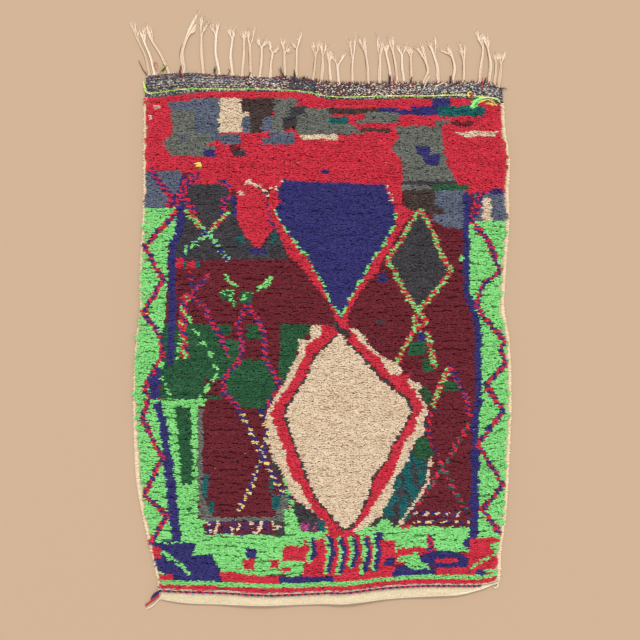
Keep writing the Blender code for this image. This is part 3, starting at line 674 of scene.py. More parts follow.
def finish_tree(tree, given, geometry, soft=True):
    """Lays each yarn on the UV map, its shade and its girth across and its length up, a little
    slanted so that its ends have an area there, and ends the tree."""
    real = node(tree, "RealizeInstances", [geometry])
    shade, girth, length = (
        node(tree, "InputNamedAttribute", {"Name": name}) for name in ("shade", "girth", "length"))
    column = node(tree, "Math FLOOR", [node(tree, "Math MULTIPLY", [shade, SHADES])])
    within = node(tree, "Math MULTIPLY_ADD", [girth, 0.84, 0.08])
    across = node(tree, "Math DIVIDE", [node(tree, "Math ADD", [column, within]), SHADES])
    slant = node(tree, "Math SINE", [node(tree, "Math MULTIPLY", [girth, math.tau])])
    up = node(tree, "Math MULTIPLY_ADD", [slant, 0.05, node(tree, "Math MULTIPLY_ADD", [length, 0.88, 0.06])])
    place = node(tree, "CombineXYZ", [across, up])
    mapped = node(tree, "StoreNamedAttribute", {"Geometry": real, "Name": "OFBake", "Value": place},
                  data_type="FLOAT2", domain="CORNER")
    smoothed = node(tree, "SetShadeSmooth", {"Geometry": mapped, "Shade Smooth": soft})
    dressed = node(tree, "SetMaterial", {"Geometry": smoothed, "Material": given["Material"]})
    node(tree, "GroupOutput", [dressed])


RIDGE_SWEEP = 2.2  # radians of its girth that an open ridge of yarn shows
BEND_CUTS = 12  # along the curve from which a bend's few steps are cut

# A short bend of yarn: its start, the point that it bends towards and its end, in millimetres
Bend = namedtuple("Bend", "start middle end")


def bends_tree(name, bends, steps, sides, thickness):
    """Puts a bend of yarn on every point, one of several by chance. The points' shade, heading
    and size attributes say how. Thickness is a list of shares along the bend. Without sides the
    yarn is only its upper half, as a ridge of two faces."""
    tree, given = new_tree(name, {"Yarn Radius": "Float", "Seed": "Int"})
    if sides:
        profile = node(tree, "CurvePrimitiveCircle", {"Resolution": sides})
    else:
        start = -(math.pi + RIDGE_SWEEP) / 2
        profile = node(tree, "CurveArc", {
            "Resolution": 3, "Radius": 1.0, "Start Angle": start, "Sweep Angle": RIDGE_SWEEP})
    along_yarn = node(tree, "SplineParameter")
    ring = node(tree, "StoreNamedAttribute", {"Geometry": profile, "Name": "girth", "Value": along_yarn})
    share = node(tree, "FloatCurve", {"Value": along_yarn}, heights=thickness)
    scale = node(tree, "Math MULTIPLY", [share, given["Yarn Radius"]])
    shapes = []
    for bend in bends:
        ends = [tuple(value * MM for value in place) for place in bend]
        line = node(tree, "CurveQuadraticBezier", [BEND_CUTS, *ends])
        cut = node(tree, "ResampleCurve", {"Curve": line, "Count": steps + 1})
        upright = node(tree, "SetCurveNormal", {"Curve": cut}, mode="Z_UP")
        marked = node(tree, "StoreNamedAttribute", {
            "Geometry": upright, "Name": "length", "Value": along_yarn})
        shapes.append(node(tree, "CurveToMesh", {
            "Curve": marked, "Profile Curve": ring, "Scale": scale, "Fill Caps": sides > 0}))
    choice = node(tree, "GeometryToInstance", {"Geometry": shapes})
    pick = node(tree, "RandomValue", {"Min": 0, "Max": len(bends) - 1, "Seed": given["Seed"]},
                data_type="INT")
    heading, size = (node(tree, "InputNamedAttribute", {"Name": name}) for name in ("heading", "size"))
    turn = node(tree, "EulerToRotation", [node(tree, "CombineXYZ", {"Z": heading})])
    spread = node(tree, "InstanceOnPoints", {
        "Points": given["Geometry"], "Instance": choice, "Pick Instance": True,
        "Instance Index": pick, "Rotation": turn, "Scale": size})
    finish_tree(tree, given, spread, soft=sides > 0)
    return tree


def plies_tree(name, plies, sides):
    """Winds plies of yarn about every route. The routes' thickness and shade attributes say how."""
    tree, given = new_tree(name, {"Pitch": "Float", "Step": "Float"})
    place = node(tree, "SplineParameter")
    profile = node(tree, "CurvePrimitiveCircle", {"Resolution": sides})
    ring = node(tree, "StoreNamedAttribute", {"Geometry": profile, "Name": "girth", "Value": place})
    routes = node(tree, "MeshToCurve", {"Mesh": given["Geometry"]})
    cut = node(tree, "ResampleCurve", {"Curve": routes, "Length": given["Step"]}, mode="LENGTH")
    marked = node(tree, "StoreNamedAttribute", {"Geometry": cut, "Name": "length", "Value": place})
    thickness = node(tree, "InputNamedAttribute", {"Name": "thickness"})
    radius = node(tree, "Math MULTIPLY", [thickness, 0.5 if plies > 1 else 1.0])
    off_middle = node(tree, "Math MULTIPLY", [radius, 0.9 if plies > 1 else 0.0])
    turns = node(tree, "Math DIVIDE", [place.outputs["Length"], given["Pitch"]])
    made = []
    for ply in range(plies):
        angle = node(tree, "Math MULTIPLY_ADD", [turns, math.tau, math.tau * ply / plies])
        out = node(tree, "VectorRotate", {
            "Vector": node(tree, "InputNormal"), "Axis": node(tree, "InputTangent"), "Angle": angle},
            rotation_type="AXIS_ANGLE")
        off = node(tree, "VectorMath SCALE", {"Vector": out, "Scale": off_middle})
        strand = node(tree, "SetPosition", {"Geometry": marked, "Offset": off})
        made.append(node(tree, "CurveToMesh", {
            "Curve": strand, "Profile Curve": ring, "Scale": radius, "Fill Caps": True}))
    finish_tree(tree, given, node(tree, "JoinGeometry", {"Geometry": made}))
    return tree


def added(name, data):
    thing = bpy.data.objects.new(name, data)
    bpy.context.collection.objects.link(thing)
    return thing


def point_mesh(name, places, edges=(), **values):
    """A mesh of points, or of routes, with their attributes."""
    mesh = bpy.data.meshes.new(name)
    mesh.from_pydata([tuple(place) for place in places], list(edges), [])
    for label, numbers in values.items():
        layer = mesh.attributes.new(label, "FLOAT", "POINT")
        layer.data.foreach_set("value", np.array(numbers, np.float32))
    return mesh


def grown(name, source, tree, values):
    """Runs a tree on a mesh and keeps what it makes as a plain mesh."""
    thing = added(name, source)
    modifier = thing.modifiers.new(name, "NODES")
    modifier.node_group = tree
    sockets = {
        item.name: item.identifier for item in tree.interface.items_tree if item.in_out == "INPUT"}
    for label, value in values.items():
        modifier[sockets[label]] = value
    graph = bpy.context.evaluated_depsgraph_get()
    mesh = bpy.data.meshes.new_from_object(
        thing.evaluated_get(graph), preserve_all_data_layers=True, depsgraph=graph)
    thing.modifiers.remove(modifier)
    thing.data = mesh
    for label in ("shade", "heading", "size", "girth", "length", "thickness"):
        if label in mesh.attributes:
            mesh.attributes.remove(mesh.attributes[label])
    return thing


def bent_yarns(name, tree, material, radius, places, seed=SEED, **values):
    """Bends of yarn on the places given, as one piece."""
    source = point_mesh(name, places, **values)
    return grown(name, source, tree, {"Yarn Radius": radius, "Seed": seed, "Material": material})


# Wool and cotton yarn, hand spun: dull, with a faint sheen of stray fibres
WOOL_ROUGHNESS = 0.95
WOOL_GLOSS = 0.1
FUR_ROUGHNESS = 0.6
YARN_SHEEN, WEAVE_SHEEN = 0.03, 0.1
WEAVE_RELIEF, WEAVE_DEPTH = 0.6, 0.5 * MM
MARL = 0.2  # how unlike each other a yarn's single fibres are


def shader(name, colour_of, sheen, height_of=None):
    """A rough, slightly furry surface. Colour and height are made by the functions given."""
    material = bpy.data.materials.new(name)
    material.use_nodes = True
    tree = material.node_tree
    surface = tree.nodes["Principled BSDF"]
    surface.inputs["Roughness"].default_value = WOOL_ROUGHNESS
    surface.inputs["Specular IOR Level"].default_value = WOOL_GLOSS
    surface.inputs["Sheen Weight"].default_value = sheen
    surface.inputs["Sheen Roughness"].default_value = FUR_ROUGHNESS
    tree.links.new(colour_of(tree), surface.inputs["Base Color"])
    if height_of:
        relief = node(tree, "Bump", {
            "Strength": WEAVE_RELIEF, "Distance": WEAVE_DEPTH, "Height": height_of(tree)})
        tree.links.new(relief.outputs["Normal"], surface.inputs["Normal"])
    return material


def yarn_map(tree):
    """The yarn's shade, its girth and its length, read back from the UV map."""
    parts = node(tree, "SeparateXYZ", [node(tree, "UVMap", uv_map="OFBake")])
    columns = node(tree, "Math MULTIPLY", [parts.outputs["X"], SHADES])
    middle = node(tree, "Math ADD", [node(tree, "Math FLOOR", [columns]), 0.5])
    shade = node(tree, "Math DIVIDE", [middle, SHADES])
    return shade, node(tree, "Math FRACT", [columns]), parts.outputs["Y"]


def spun_yarn(name, colours, turns, root_tone=1.0, apart=False):
    """Yarn spun from several fibres: a shade of its own for each length, finer streaks that wind
    round it, flecks of single fibres, and at its root a painted shade, warmer as it deepens, which
    turns to painted light where the root factor is over 1. Colours that lie apart aren't blended."""
    def colour_of(tree):
        shade, girth, length = yarn_map(tree)
        last = len(colours) - (0 if apart else 1)
        stops = [(k / last, colour) for k, colour in enumerate(colours)]
        dye = node(tree, "ValToRGB", {"Fac": shade}, stops=stops,
                   between_stops="CONSTANT" if apart else "LINEAR")
        winds = node(tree, "Math MULTIPLY_ADD", [length, turns, girth])
        wind = node(tree, "Math MULTIPLY", [winds, math.tau])
        streak = node(tree, "Math MULTIPLY_ADD", [node(tree, "Math SINE", [wind]), 0.05, 0.98])
        fibre_place = node(tree, "CombineXYZ", [
            node(tree, "Math MULTIPLY", [girth, 3.0]), node(tree, "Math MULTIPLY", [length, 2.0 * turns]),
            node(tree, "Math MULTIPLY", [shade, 40.0])])
        fibre = node(tree, "TexNoise", {"Vector": fibre_place, "Scale": 2.0, "Detail": 2.0})
        fleck = node(tree, "Math MULTIPLY_ADD", [fibre, MARL, 1.0 - 0.5 * MARL])
        # painted light at the root: below 1 a painted shade that warms as it deepens, above 1 a painted
        # lightening
        root_light_ramp = node(tree, "MapRange", {
            "Value": length, "From Min": 0.0, "From Max": 0.6, "To Min": root_tone, "To Max": 1.0},
            interpolation_type="SMOOTHSTEP")
        warm_root_light = node(tree, "CombineXYZ", [
            root_light_ramp, node(tree, "Math POWER", [root_light_ramp, 1.25]), node(tree, "Math POWER", [root_light_ramp, 1.5])])
        dyed = node(tree, "VectorMath MULTIPLY", [dye.outputs["Color"], warm_root_light])
        toned = node(tree, "VectorMath SCALE", {
            "Vector": dyed, "Scale": node(tree, "Math MULTIPLY", [streak, fleck])})
        return toned.outputs["Vector"]

    return shader(name, colour_of, YARN_SHEEN)


# The pile: its rows, and how they wander. Waves are in centimetres and their lengths in metres.
KNOT_ROWS = 112
KNOTS_ACROSS = 130
PILE_OFF_TWINING = 0.75 * CM
LAST_ROWS = ("red", "lime")  # the two rows next to the plain hem run straight across
LAST_ROWS_WAVE = 0.4
ROW_WAVE, WAVE_LENGTH = 0.3, 0.09
ROW_RIPPLE, RIPPLE_LENGTH = 0.28, 0.017
RIM_LEFT, RIM_RIGHT = 0.001, 0.002  # shares of the width left free, where the tufts lean out
SIDE_RAGGED, RAGGED_LENGTH = 14.0 * MM, 0.016  # the side edges wander in and out
RAGGED_POWER = 8  # keeps that to the outermost knots


def rows_of_knots():
    """Where each knot of the pile sits, in metres in the tables' frame, and its row."""
    places, rows = [], []
    ends = (("twined_line", PILE_OFF_TWINING), ("pile_top", -1.0 * MM))
    for row in range(KNOT_ROWS):
        calm = LAST_ROWS_WAVE if row < len(LAST_ROWS) else 1.0
        for knot in range(KNOTS_ACROSS):
            share = (knot + 0.5 + 0.25 * (row % 2 - 0.5)) / KNOTS_ACROSS
            place = on_cloth(mix(RIM_LEFT, 1 - RIM_RIGHT, share), *ends, (row + 0.5) / KNOT_ROWS, "pile")
            wave = noise.noise(Vector((place.x / WAVE_LENGTH, row * 0.35, 0.0)))
            ripple = noise.noise(Vector((place.x / RIPPLE_LENGTH, row * 0.9, 5.0)))
            side = math.copysign(abs(2 * share - 1) ** RAGGED_POWER, share - 0.5)
            ragged = noise.noise(Vector((math.copysign(3.0, side), place.y / RAGGED_LENGTH, 9.0)))
            x = place.x + side * ragged * SIDE_RAGGED
            places.append((x, place.y + calm * (wave * ROW_WAVE + ripple * ROW_RIPPLE) * CM))
            rows.append(row)
    x, y = np.array(places).T
    return x, y, np.array(rows)


TUFT_BENDS = [
    Bend((-4.6, 0, 0), (-4.2, 0.6, 10.8), (5.0, 0.2, 6.0)),
    Bend((-4.2, 0, 0), (-4.0, -0.8, 10.2), (4.4, -0.8, 5.6)),
    Bend((-4.8, 0, 0), (-3.8, 0.8, 11.0), (5.4, 1.4, 6.4)),
    Bend((-4.4, 0, 0), (-4.0, -0.4, 10.0), (4.8, -1.6, 5.4)),
]
TUFT_THICKNESS = [(0.0, 0.8), (0.5, 1.0), (1.0, 0.65)]
TUFT_RADIUS = 1.62 * MM
TUFTS_APART = 1.9 * MM
TUFT_PLACES = [-2.5, -1.7, -0.4, 0.4, 1.7, 2.5]  # a knot's tufts, in pairs, one for each ply
FLECK_SHARE, FLECK_SIZE = 0.0016, 0.7  # stray pale tufts
DARK_SHARE, DARKER = 0.08, 0.32  # pairs of tufts of a darker dye lot


def drift(x, y, wide, tall, layer):
    """Slow random change over the cloth, at a width and a height of its own."""
    return np.array([noise.noise(Vector((px / wide, py / tall, layer))) for px, py in zip(x, y)])


def tie_tufts():
    """Every tuft of the pile: its place, its yarn, and the attributes that the tree reads. The
    tufts of a knot lean the same way, rows part here and there, and the rows' shades drift."""
    chance = np.random.default_rng(SEED)
    knot_x, knot_y, knot_row = rows_of_knots()
    knots = len(knot_x)
    flow = drift(knot_x, knot_y, 0.07, 0.05, 20.0) + chance.normal(0.0, 0.35, knots)
    slant = 0.4 * drift(knot_x, knot_y, 0.03, 0.02, 30.0) + chance.normal(0.0, 0.12, knots)
    lean = np.where(flow > 0, -0.15 + slant, math.pi + 0.15 + slant)
    loose = 1.0 + 1.6 * drift(knot_x, knot_y, 0.06, 0.04, 50.0)
    parted = loose * (
        2.2 * drift(knot_x, 3 * knot_row * CM, 0.07, 0.01, 40.0)
        + 0.9 * drift(knot_x, 3 * knot_row * CM, 0.016, 0.01, 60.0) + chance.normal(0.0, 0.25, knots))
    tufts = len(TUFT_PLACES)
    x, y, row, lean, parted = (
        np.repeat(values, tufts) for values in (knot_x, knot_y, knot_row, lean, parted))
    count = len(x)
    pairs = count // 2
    x = x + np.repeat(chance.normal(0.0, 1.0 * MM, pairs), 2) + chance.normal(0.0, 0.6 * MM, count)
    order = np.tile(TUFT_PLACES, knots)
    y = y + order * TUFTS_APART
    ragged = np.repeat(chance.normal(0.0, 0.1, (2, knots)), tufts, axis=1)
    yarn = charted(x / CM + ragged[0], y / CM + ragged[1])
    stray = np.array([wool.stray for wool in WOOLS.values()])[yarn] * MM
    y = y + stray * (parted - 0.17 * order) + chance.normal(0.0, 0.4 * MM, count)
    for number, name in enumerate(LAST_ROWS):
        yarn[row == number] = YARNS.index(name)
    size = drawn(chance, 1.0, 0.06, count, 0.8, 1.2)
    fleck = chance.random(count) < FLECK_SHARE
    yarn[fleck] = YARNS.index("cream")
    size[fleck] *= FLECK_SIZE
    shade = (
        0.55 + 0.12 * drift(x, y, 0.11, 0.035, 3.0) + 0.1 * drift(x, y, 0.028, 0.014, 9.0)
        + chance.normal(0.0, 0.04, KNOT_ROWS)[row] + chance.normal(0.0, 0.07, count)
        + np.repeat(chance.normal(0.0, 0.1, pairs) - DARKER * (chance.random(pairs) < DARK_SHARE), 2)
    )
    places = np.stack([x, y, np.full(count, SEAT) + chance.normal(0.0, 0.6 * MM, count)], 1)
    heading = lean + np.repeat(chance.normal(0.0, 0.12, pairs), 2) + chance.normal(0.0, 0.06, count)
    return places, yarn, {"shade": np.clip(shade, 0.02, 0.98), "heading": heading, "size": size}


def knotted_pile(shift):
    """The pile as bends of yarn, a piece for each dye."""
    tree = bends_tree("pile tufts", TUFT_BENDS, steps=2, sides=0, thickness=TUFT_THICKNESS)
    places, yarn, values = tie_tufts()
    pieces = []
    for number, (name, wool) in enumerate(WOOLS.items()):
        own = np.flatnonzero(yarn == number)
        # each wool's painted light and shade at its tufts' roots
        material = spun_yarn(name + " dyed pile wool", wool[:3], turns=1.5, root_tone=wool.root_tone)
        spots = places[own] + np.array(shift)
        pieces.append(bent_yarns(
            "pile_" + name, tree, material, TUFT_RADIUS, spots, SEED + number,
            **{key: value[own] for key, value in values.items()}))
    return pieces


# The woven ground. Its hem lifts off the floor in waves.
GROUND_THICK = 3 * MM
GROUND_COLUMNS = 110
HEM_LIFT = 7 * MM
HEM_WAVES = 3.5
WARP_PITCH = 3.7 * MM
WEFT_PITCH = 2.7 * MM
UNDYED, DARK_WEFTS = "#C4B295", "#515157"

# Its zones from the hem's edge to the upper edge, each between two lines of the end table
Zone = namedtuple("Zone", "lower upper rows")
ZONES = [
    Zone("ground_bottom", "twined_line", 14),
    Zone("twined_line", "pile_top", 122),
    Zone("pile_top", "ground_top", 14),
]


def hem_lift(across, up):
    """How far the plain hem lifts off the floor, up being 0 at its edge and 1 at the twining."""
    ends = math.sin(math.pi * min(max(across, 0.0), 1.0)) ** 0.5
    wave = HEM_LIFT * ends * (0.65 + 0.35 * math.cos(2 * math.pi * HEM_WAVES * across))
    fall = min(max(1.0 - up / 0.7, 0.0), 1.0)
    return wave * fall * fall * (3 - 2 * fall)


def ground_lines():
    """The cloth's rows from the hem's edge to the upper edge: each one's zone, and its share of
    the way through it."""
    lines = [(zone, k / zone.rows) for zone in ZONES for k in range(zone.rows)]
    return lines + [(ZONES[-1], 1.0)]


def ground_faces(wide, tall):
    """The sheet's faces, upper and lower in turns, and then its rim's."""
    count = wide * tall
    faces = []
    for row in range(tall - 1):
        for column in range(wide - 1):
            a = row * wide + column
            quad = (a, a + 1, a + 1 + wide, a + wide)
            faces.append(quad)
            faces.append(tuple(k + count for k in reversed(quad)))
    rim = (
        [k for k in range(wide)] + [wide * k - 1 for k in range(2, tall + 1)]
        + [count - 2 - k for k in range(wide - 1)] + [wide * k for k in range(tall - 2, 0, -1)]
    )
    return faces, [(a, a + count, b + count, b) for a, b in zip(rim, rim[1:] + rim[:1])]


def unwrap_ground(mesh, spots, rim_start):
    """The upper side in the map's left half, the lower side in its right half, and the rim as a
    narrow strip round the upper side."""
    layer = mesh.uv_layers.new(name="OFBake")
    for number, face in enumerate(mesh.polygons):
        for loop in face.loop_indices:
            corner = mesh.loops[loop].vertex_index
            u, v = spots[corner % len(spots)]
            under = corner >= len(spots)
            across, up = 0.02 + 0.46 * u, 0.02 + 0.96 * v
            if number < rim_start:
                layer.data[loop].uv = (across + (0.5 if under else 0.0), up)
            else:
                out = 0.012 if under else 0.0
                layer.data[loop].uv = (across + out * (u - 0.5) * 2, up + out * (v - 0.5) * 2)


def dye_ground(mesh, top, spots, zones):
    """Undyed at the hem and the rim, dark under the band, and under the pile the colour of the
    knots, with the same painted light and shade as their roots between them, and softer on their backs."""
    count = len(top)
    x, y = np.array([(p.x, p.y) for p in top]).T / CM
    yarn = charted(x, y)
    tones = np.array([linear(wool.middle)[:3] for wool in WOOLS.values()])[yarn]
    root_light_paints = np.array([wool.root_tone for wool in WOOLS.values()])[yarn]
    plain = np.array(linear(UNDYED)[:3])
    knotted = np.array([zone.lower == "twined_line" and share > 0 for zone, share in zones])
    inner = np.array([0.01 < u < 0.99 for u, v in spots])
    dye = np.ones((2 * count, 4))
    # between the tufts the knots' colour, times the painted light of their roots
    dye[:count, :3] = np.where((knotted & inner)[:, None], tones * root_light_paints[:, None], plain)
    dye[count:, :3] = np.where(knotted[:, None], tones * 0.75 + plain * 0.25, plain)
    banded = np.array([zone.lower == "pile_top" for zone, share in zones])
    dye[np.tile(banded, 2), :3] = linear(DARK_WEFTS)[:3]
    mesh.attributes.new("dye", "FLOAT_COLOR", "POINT").data.foreach_set("color", dye.ravel())


def woven_ground(shift):
    """The cloth itself, a closed sheet, and its area."""
    lines = ground_lines()
    wide, tall = GROUND_COLUMNS + 1, len(lines)
    top, spots = [], []
    for row, (zone, share) in enumerate(lines):
        for column in range(wide):
            across = column / GROUND_COLUMNS
            place = on_cloth(across, (zone.lower, 0.0), (zone.upper, 0.0), share)
            lift = hem_lift(across, share) if zone is ZONES[0] else 0.0
            top.append(place + Vector((0, 0, lift)))
            spots.append((across, row / (tall - 1)))
    places = [p + shift + Vector((0, 0, GROUND_THICK)) for p in top] + [p + shift for p in top]
    faces, rim = ground_faces(wide, tall)
    mesh = bpy.data.meshes.new("ground")
    mesh.from_pydata(places, [], faces + rim)
    unwrap_ground(mesh, spots, len(faces))
    dye_ground(mesh, top, spots, [line for line in lines for _ in range(wide)])
    mesh.materials.append(plain_weave())
    mesh.shade_smooth()
    area = sum(face.area for face in list(mesh.polygons)[:len(faces):2])
    return added("ground", mesh), area


def plain_weave():
    """Undyed wool and cotton, woven: fine ribs that run across, each broken by the warps. The
    ribs are coarser than real, so that they show. Their relief is also painted into the colour, as
    shade in their hollows, over random spots of the yarn's own tone."""
    def ribs(tree):
        parts = node(tree, "SeparateXYZ", [node(tree, "TexCoord").outputs["Object"]])
        weft, warp = (
            node(tree, "Math SINE", [node(tree, "Math MULTIPLY", [parts.outputs[axis], math.tau / pitch])])
            for axis, pitch in (("Y", WEFT_PITCH), ("X", WARP_PITCH)))
        return node(tree, "Math MULTIPLY_ADD", [node(tree, "Math MULTIPLY", [weft, warp]), 0.5, 0.5])

    def colour_of(tree):
        dye = node(tree, "Attribute", attribute_name="dye")
        place = node(tree, "TexCoord").outputs["Object"]
        spots = node(tree, "TexNoise", {"Vector": place, "Scale": 160.0, "Detail": 3.0})
        # the ribs darken the colour in their hollows as painted shade; the spots are the yarn's own tone
        tone = node(tree, "Math MULTIPLY", [
            node(tree, "Math MULTIPLY_ADD", [ribs(tree), 0.2, 0.85]),
            node(tree, "Math MULTIPLY_ADD", [spots, 0.4, 0.8])])
        toned = node(tree, "VectorMath SCALE", {"Vector": dye.outputs["Color"], "Scale": tone})
        return toned.outputs["Vector"]

    return shader("undyed plain weave", colour_of, WEAVE_SHEEN, ribs)


# The wefts of the band at the fringed end, from its upper edge down to the lime line, and the
# few between that and the pile: the colours that each row's floats are drawn from
KILIM_SHADES = ["#3A3639", "#5C6475", "#908D8B", "#893948", "#6A5546", "#C8B496", "#E0D5C0", "#B1B555"]
CHARCOAL, BLUE_GREY, GREY, MAROON, UMBER, CREAM, WHITE, YELLOW_GREEN = range(8)
BAND_ROWS = [
    (MAROON, CREAM, UMBER, MAROON, CHARCOAL, GREY),
    (MAROON, CHARCOAL, MAROON, UMBER, GREY),
    (CHARCOAL, CHARCOAL, UMBER, CHARCOAL, GREY),
    (BLUE_GREY, GREY, BLUE_GREY, CREAM, MAROON),
    (CHARCOAL, UMBER, CHARCOAL, CHARCOAL),
    (GREY, GREY, CREAM, UMBER),
    (GREY, UMBER, BLUE_GREY, WHITE),
    (CHARCOAL, BLUE_GREY, CHARCOAL, CREAM),
    (GREY, WHITE, BLUE_GREY, GREY),
    (BLUE_GREY, CHARCOAL, CHARCOAL, UMBER),
    (GREY, CREAM, CREAM, CHARCOAL),
    (CHARCOAL, UMBER, CHARCOAL, GREY),
    (WHITE, GREY, CHARCOAL, MAROON),
    (CHARCOAL, UMBER, UMBER, GREY),
    (CREAM, YELLOW_GREEN, CHARCOAL, CREAM, UMBER),
]
FOOT_ROWS = [
    (CHARCOAL, GREY, WHITE, UMBER),
    (CHARCOAL, GREY, CHARCOAL, CREAM),
    (CHARCOAL, CHARCOAL, UMBER, GREY),
]
# Along the band its wefts change: up to an X in centimetres, a share of them is of these shades
BAND_ZONES = [
    (-33, 0.35, (CHARCOAL, CHARCOAL, GREY)),
    (-20, 0.15, (BLUE_GREY, GREY, CREAM)),
    (-9, 0.6, (CHARCOAL, WHITE, CHARCOAL, GREY, MAROON)),
    (-2, 0.7, (CHARCOAL, CHARCOAL, CHARCOAL, BLUE_GREY, UMBER)),
    (12, 0.6, (MAROON, CHARCOAL, CHARCOAL, WHITE, UMBER)),
    (24, 0.5, (CHARCOAL, MAROON, WHITE, CREAM, CHARCOAL)),
    (46, 0.5, (CHARCOAL, BLUE_GREY, GREY, WHITE, CHARCOAL)),
]
HEM_ROWS = [(0,)] * 8
HEM_FOOT = 4.5 * MM  # how much higher the wefts between the twined line and the pile lie

FLOAT_BENDS = [
    Bend((-2.0, 0, -0.6), (0, 0.3, 2.4), (2.0, 0, -0.6)),
    Bend((-1.8, 0.3, -0.6), (0.2, -0.4, 2.9), (1.9, 0, -0.6)),
    Bend((-2.3, -0.2, -0.6), (-0.2, 0, 2.2), (2.1, 0.2, -0.6)),
]
FLOAT_THICKNESS = [(0.0, 0.8), (0.5, 1.0), (1.0, 0.8)]
FLOAT_RADIUS = 1.25 * MM


def lay_floats(lower, upper, rows, shift, chance, lifts=False, zones=()):
    """Weft floats in rows between two lines of the cloth. Each row is the shades that it is
    drawn from. Gives the floats' places, shades and headings."""
    places, shades, headings = [], [], []
    for number, row in enumerate(rows):
        share = (number + 0.5) / len(rows)
        left = on_cloth(0.0, lower, upper, share)
        right = on_cloth(1.0, lower, upper, share)
        count = int((right.x - left.x) / WARP_PITCH)
        for k in range(count):
            across = (k + 0.5 + 0.5 * (number % 2 - 0.5)) / count
            place = on_cloth(across, lower, upper, share)
            ahead = on_cloth(across + 0.02, lower, upper, share) - place
            lift = hem_lift(across, share) if lifts else 0.0
            level = lift + GROUND_THICK + 0.2 * MM
            stray = Vector((chance.normal(0, 0.4 * MM), chance.normal(0, 0.35 * MM), level))
            places.append(place + stray + shift)
            choice = row
            for until, portion, shades_there in zones:
                if place.x / CM < until:
                    choice = shades_there if chance.random() < portion else row
                    break
            shades.append(choice[int(chance.random() * len(choice))])
            headings.append(math.atan2(ahead.y, ahead.x) + chance.normal(0, 0.06))
    return places, shades, headings


def kilim_band(shift, tree):
    """The band of dark salt-and-pepper wefts, and the few rows below the lime line."""
    chance = np.random.default_rng(SEED + 2)
    band = (("ground_top", -1.0 * MM), ("lime_line", 1.6 * MM))
    foot = (("lime_line", -1.2 * MM), ("pile_top", 0.5 * MM))
    laid = lay_floats(*band, BAND_ROWS, shift, chance, zones=BAND_ZONES)
    below = lay_floats(*foot, FOOT_ROWS, shift, chance)
    places, shades, headings = (above + lower for above, lower in zip(laid, below))
    material = spun_yarn("wool wefts of many darks", KILIM_SHADES, turns=1.0, apart=True)
    return bent_yarns(
        "kilim_band", tree, material, FLOAT_RADIUS, places,
        shade=(np.array(shades) + 0.5) / len(KILIM_SHADES), heading=headings,
        size=drawn(chance, 1.0, 0.08, len(places), 0.8, 1.2))


def plain_hem(shift, tree):
    """Undyed wefts of the plain hem, and the few between the twined line and the pile."""
    chance = np.random.default_rng(SEED + 3)
    hem = (("ground_bottom", 1.0 * MM), ("twined_line", -3.0 * MM))
    foot = (("twined_line", 2.5 * MM), ("twined_line", 8.0 * MM))
    places, _, headings = lay_floats(*hem, HEM_ROWS, shift, chance, lifts=True)
    raised, _, turned = lay_floats(*foot, HEM_ROWS[:2], shift, chance)
    places += [place + Vector((0, 0, HEM_FOOT)) for place in raised]
    material = spun_yarn("undyed weft yarn", ["#C5B696", "#D4C7AB", "#E0D5BA"], turns=1.0)
    return bent_yarns(
        "plain_hem", tree, material, FLOAT_RADIUS, places,
        shade=drawn(chance, 0.5, 0.2, len(places), 0.02, 0.98), heading=headings + turned,
        size=drawn(chance, 1.0, 0.08, len(places), 0.8, 1.2))


WRAP_BENDS = [
    Bend((-4.5, 0.3, -0.8), (0, -0.4, 2.8), (4.5, 0, -0.5)),
    Bend((-4.8, -0.2, -0.8), (0.4, 0.5, 2.5), (4.2, 0.4, -0.5)),
]
WRAPS = 460  # on each side
WRAP_RADIUS = 2.1 * MM
WRAP_INWARD = 0.35  # share of the way from the cloth's edge to the pile's


def selvedges(shift):
    """Undyed wefts that turn round the outer warps, along both sides."""
    chance = np.random.default_rng(SEED + 4)
    tree = bends_tree("selvedge turns", WRAP_BENDS, steps=3, sides=4, thickness=FLOAT_THICKNESS)
    ends = (("twined_line", 0.0), ("pile_top", 3.0 * MM))
    places, headings = [], []
    for side, sign in ((0.0, 1.0), (1.0, -1.0)):
        for k in range(WRAPS):
            share = (k + 0.5) / WRAPS
            place = on_cloth(side, *ends, share)
            inward = on_cloth(side, *ends, share, "pile")
            middle = place.lerp(inward, WRAP_INWARD)
            out = sign * 1.0 * MM + chance.normal(0, 0.7 * MM)
            places.append(middle + Vector((out, chance.normal(0, 0.5 * MM), 3.0 * MM)) + shift)
            headings.append((0.0 if sign > 0 else math.pi) + chance.normal(0, 0.12))
    # a little painted light at the roots of the wraps
    material = spun_yarn("undyed selvedge yarn", ["#BCA384", "#CDB797", "#D9C6AB"], turns=1.0, root_tone=1.1)
    return bent_yarns(
        "selvedges", tree, material, WRAP_RADIUS, places,
        shade=drawn(chance, 0.5, 0.14, len(places), 0.02, 0.98), heading=headings,
        size=drawn(chance, 1.0, 0.08, len(places), 0.7, 1.3))


# Yarn along a route: its points, its radius at each, and its shade at each or all along
Route = namedtuple("Route", "points radii shade")


def smooth(points, radii, steps):
    """A curve through the points, and the radii along it."""
    line, sizes = [], []
    last = len(points) - 1
    for k in range(last):
        before, after = points[max(k - 1, 0)], points[min(k + 2, last)]
        a, b = points[k], points[k + 1]
        for step in range(steps):
            t = step / steps
            lean = (b - before) * 0.5 * (t * (1 - t) ** 2) - (after - a) * 0.5 * (t * t * (1 - t))
            line.append(a.lerp(b, t * t * (3 - 2 * t)) + lean)
            sizes.append(mix(radii[k], radii[k + 1], t))
    return line + [points[-1]], sizes + [radii[-1]]


def wound(name, routes, shift, tree, material, pitch, step):
    """Yarn wound along routes."""
    places, edges, thickness, shade = [], [], [], []
    for route in routes:
        start = len(places)
        places += [point + shift for point in route.points]
        edges += [(k, k + 1) for k in range(start, len(places) - 1)]
        thickness += route.radii
        shade += route.shade if isinstance(route.shade, list) else [route.shade] * len(route.points)
    source = point_mesh(name, places, edges, thickness=thickness, shade=shade)
    return grown(name, source, tree, {"Pitch": pitch, "Step": step, "Material": material})


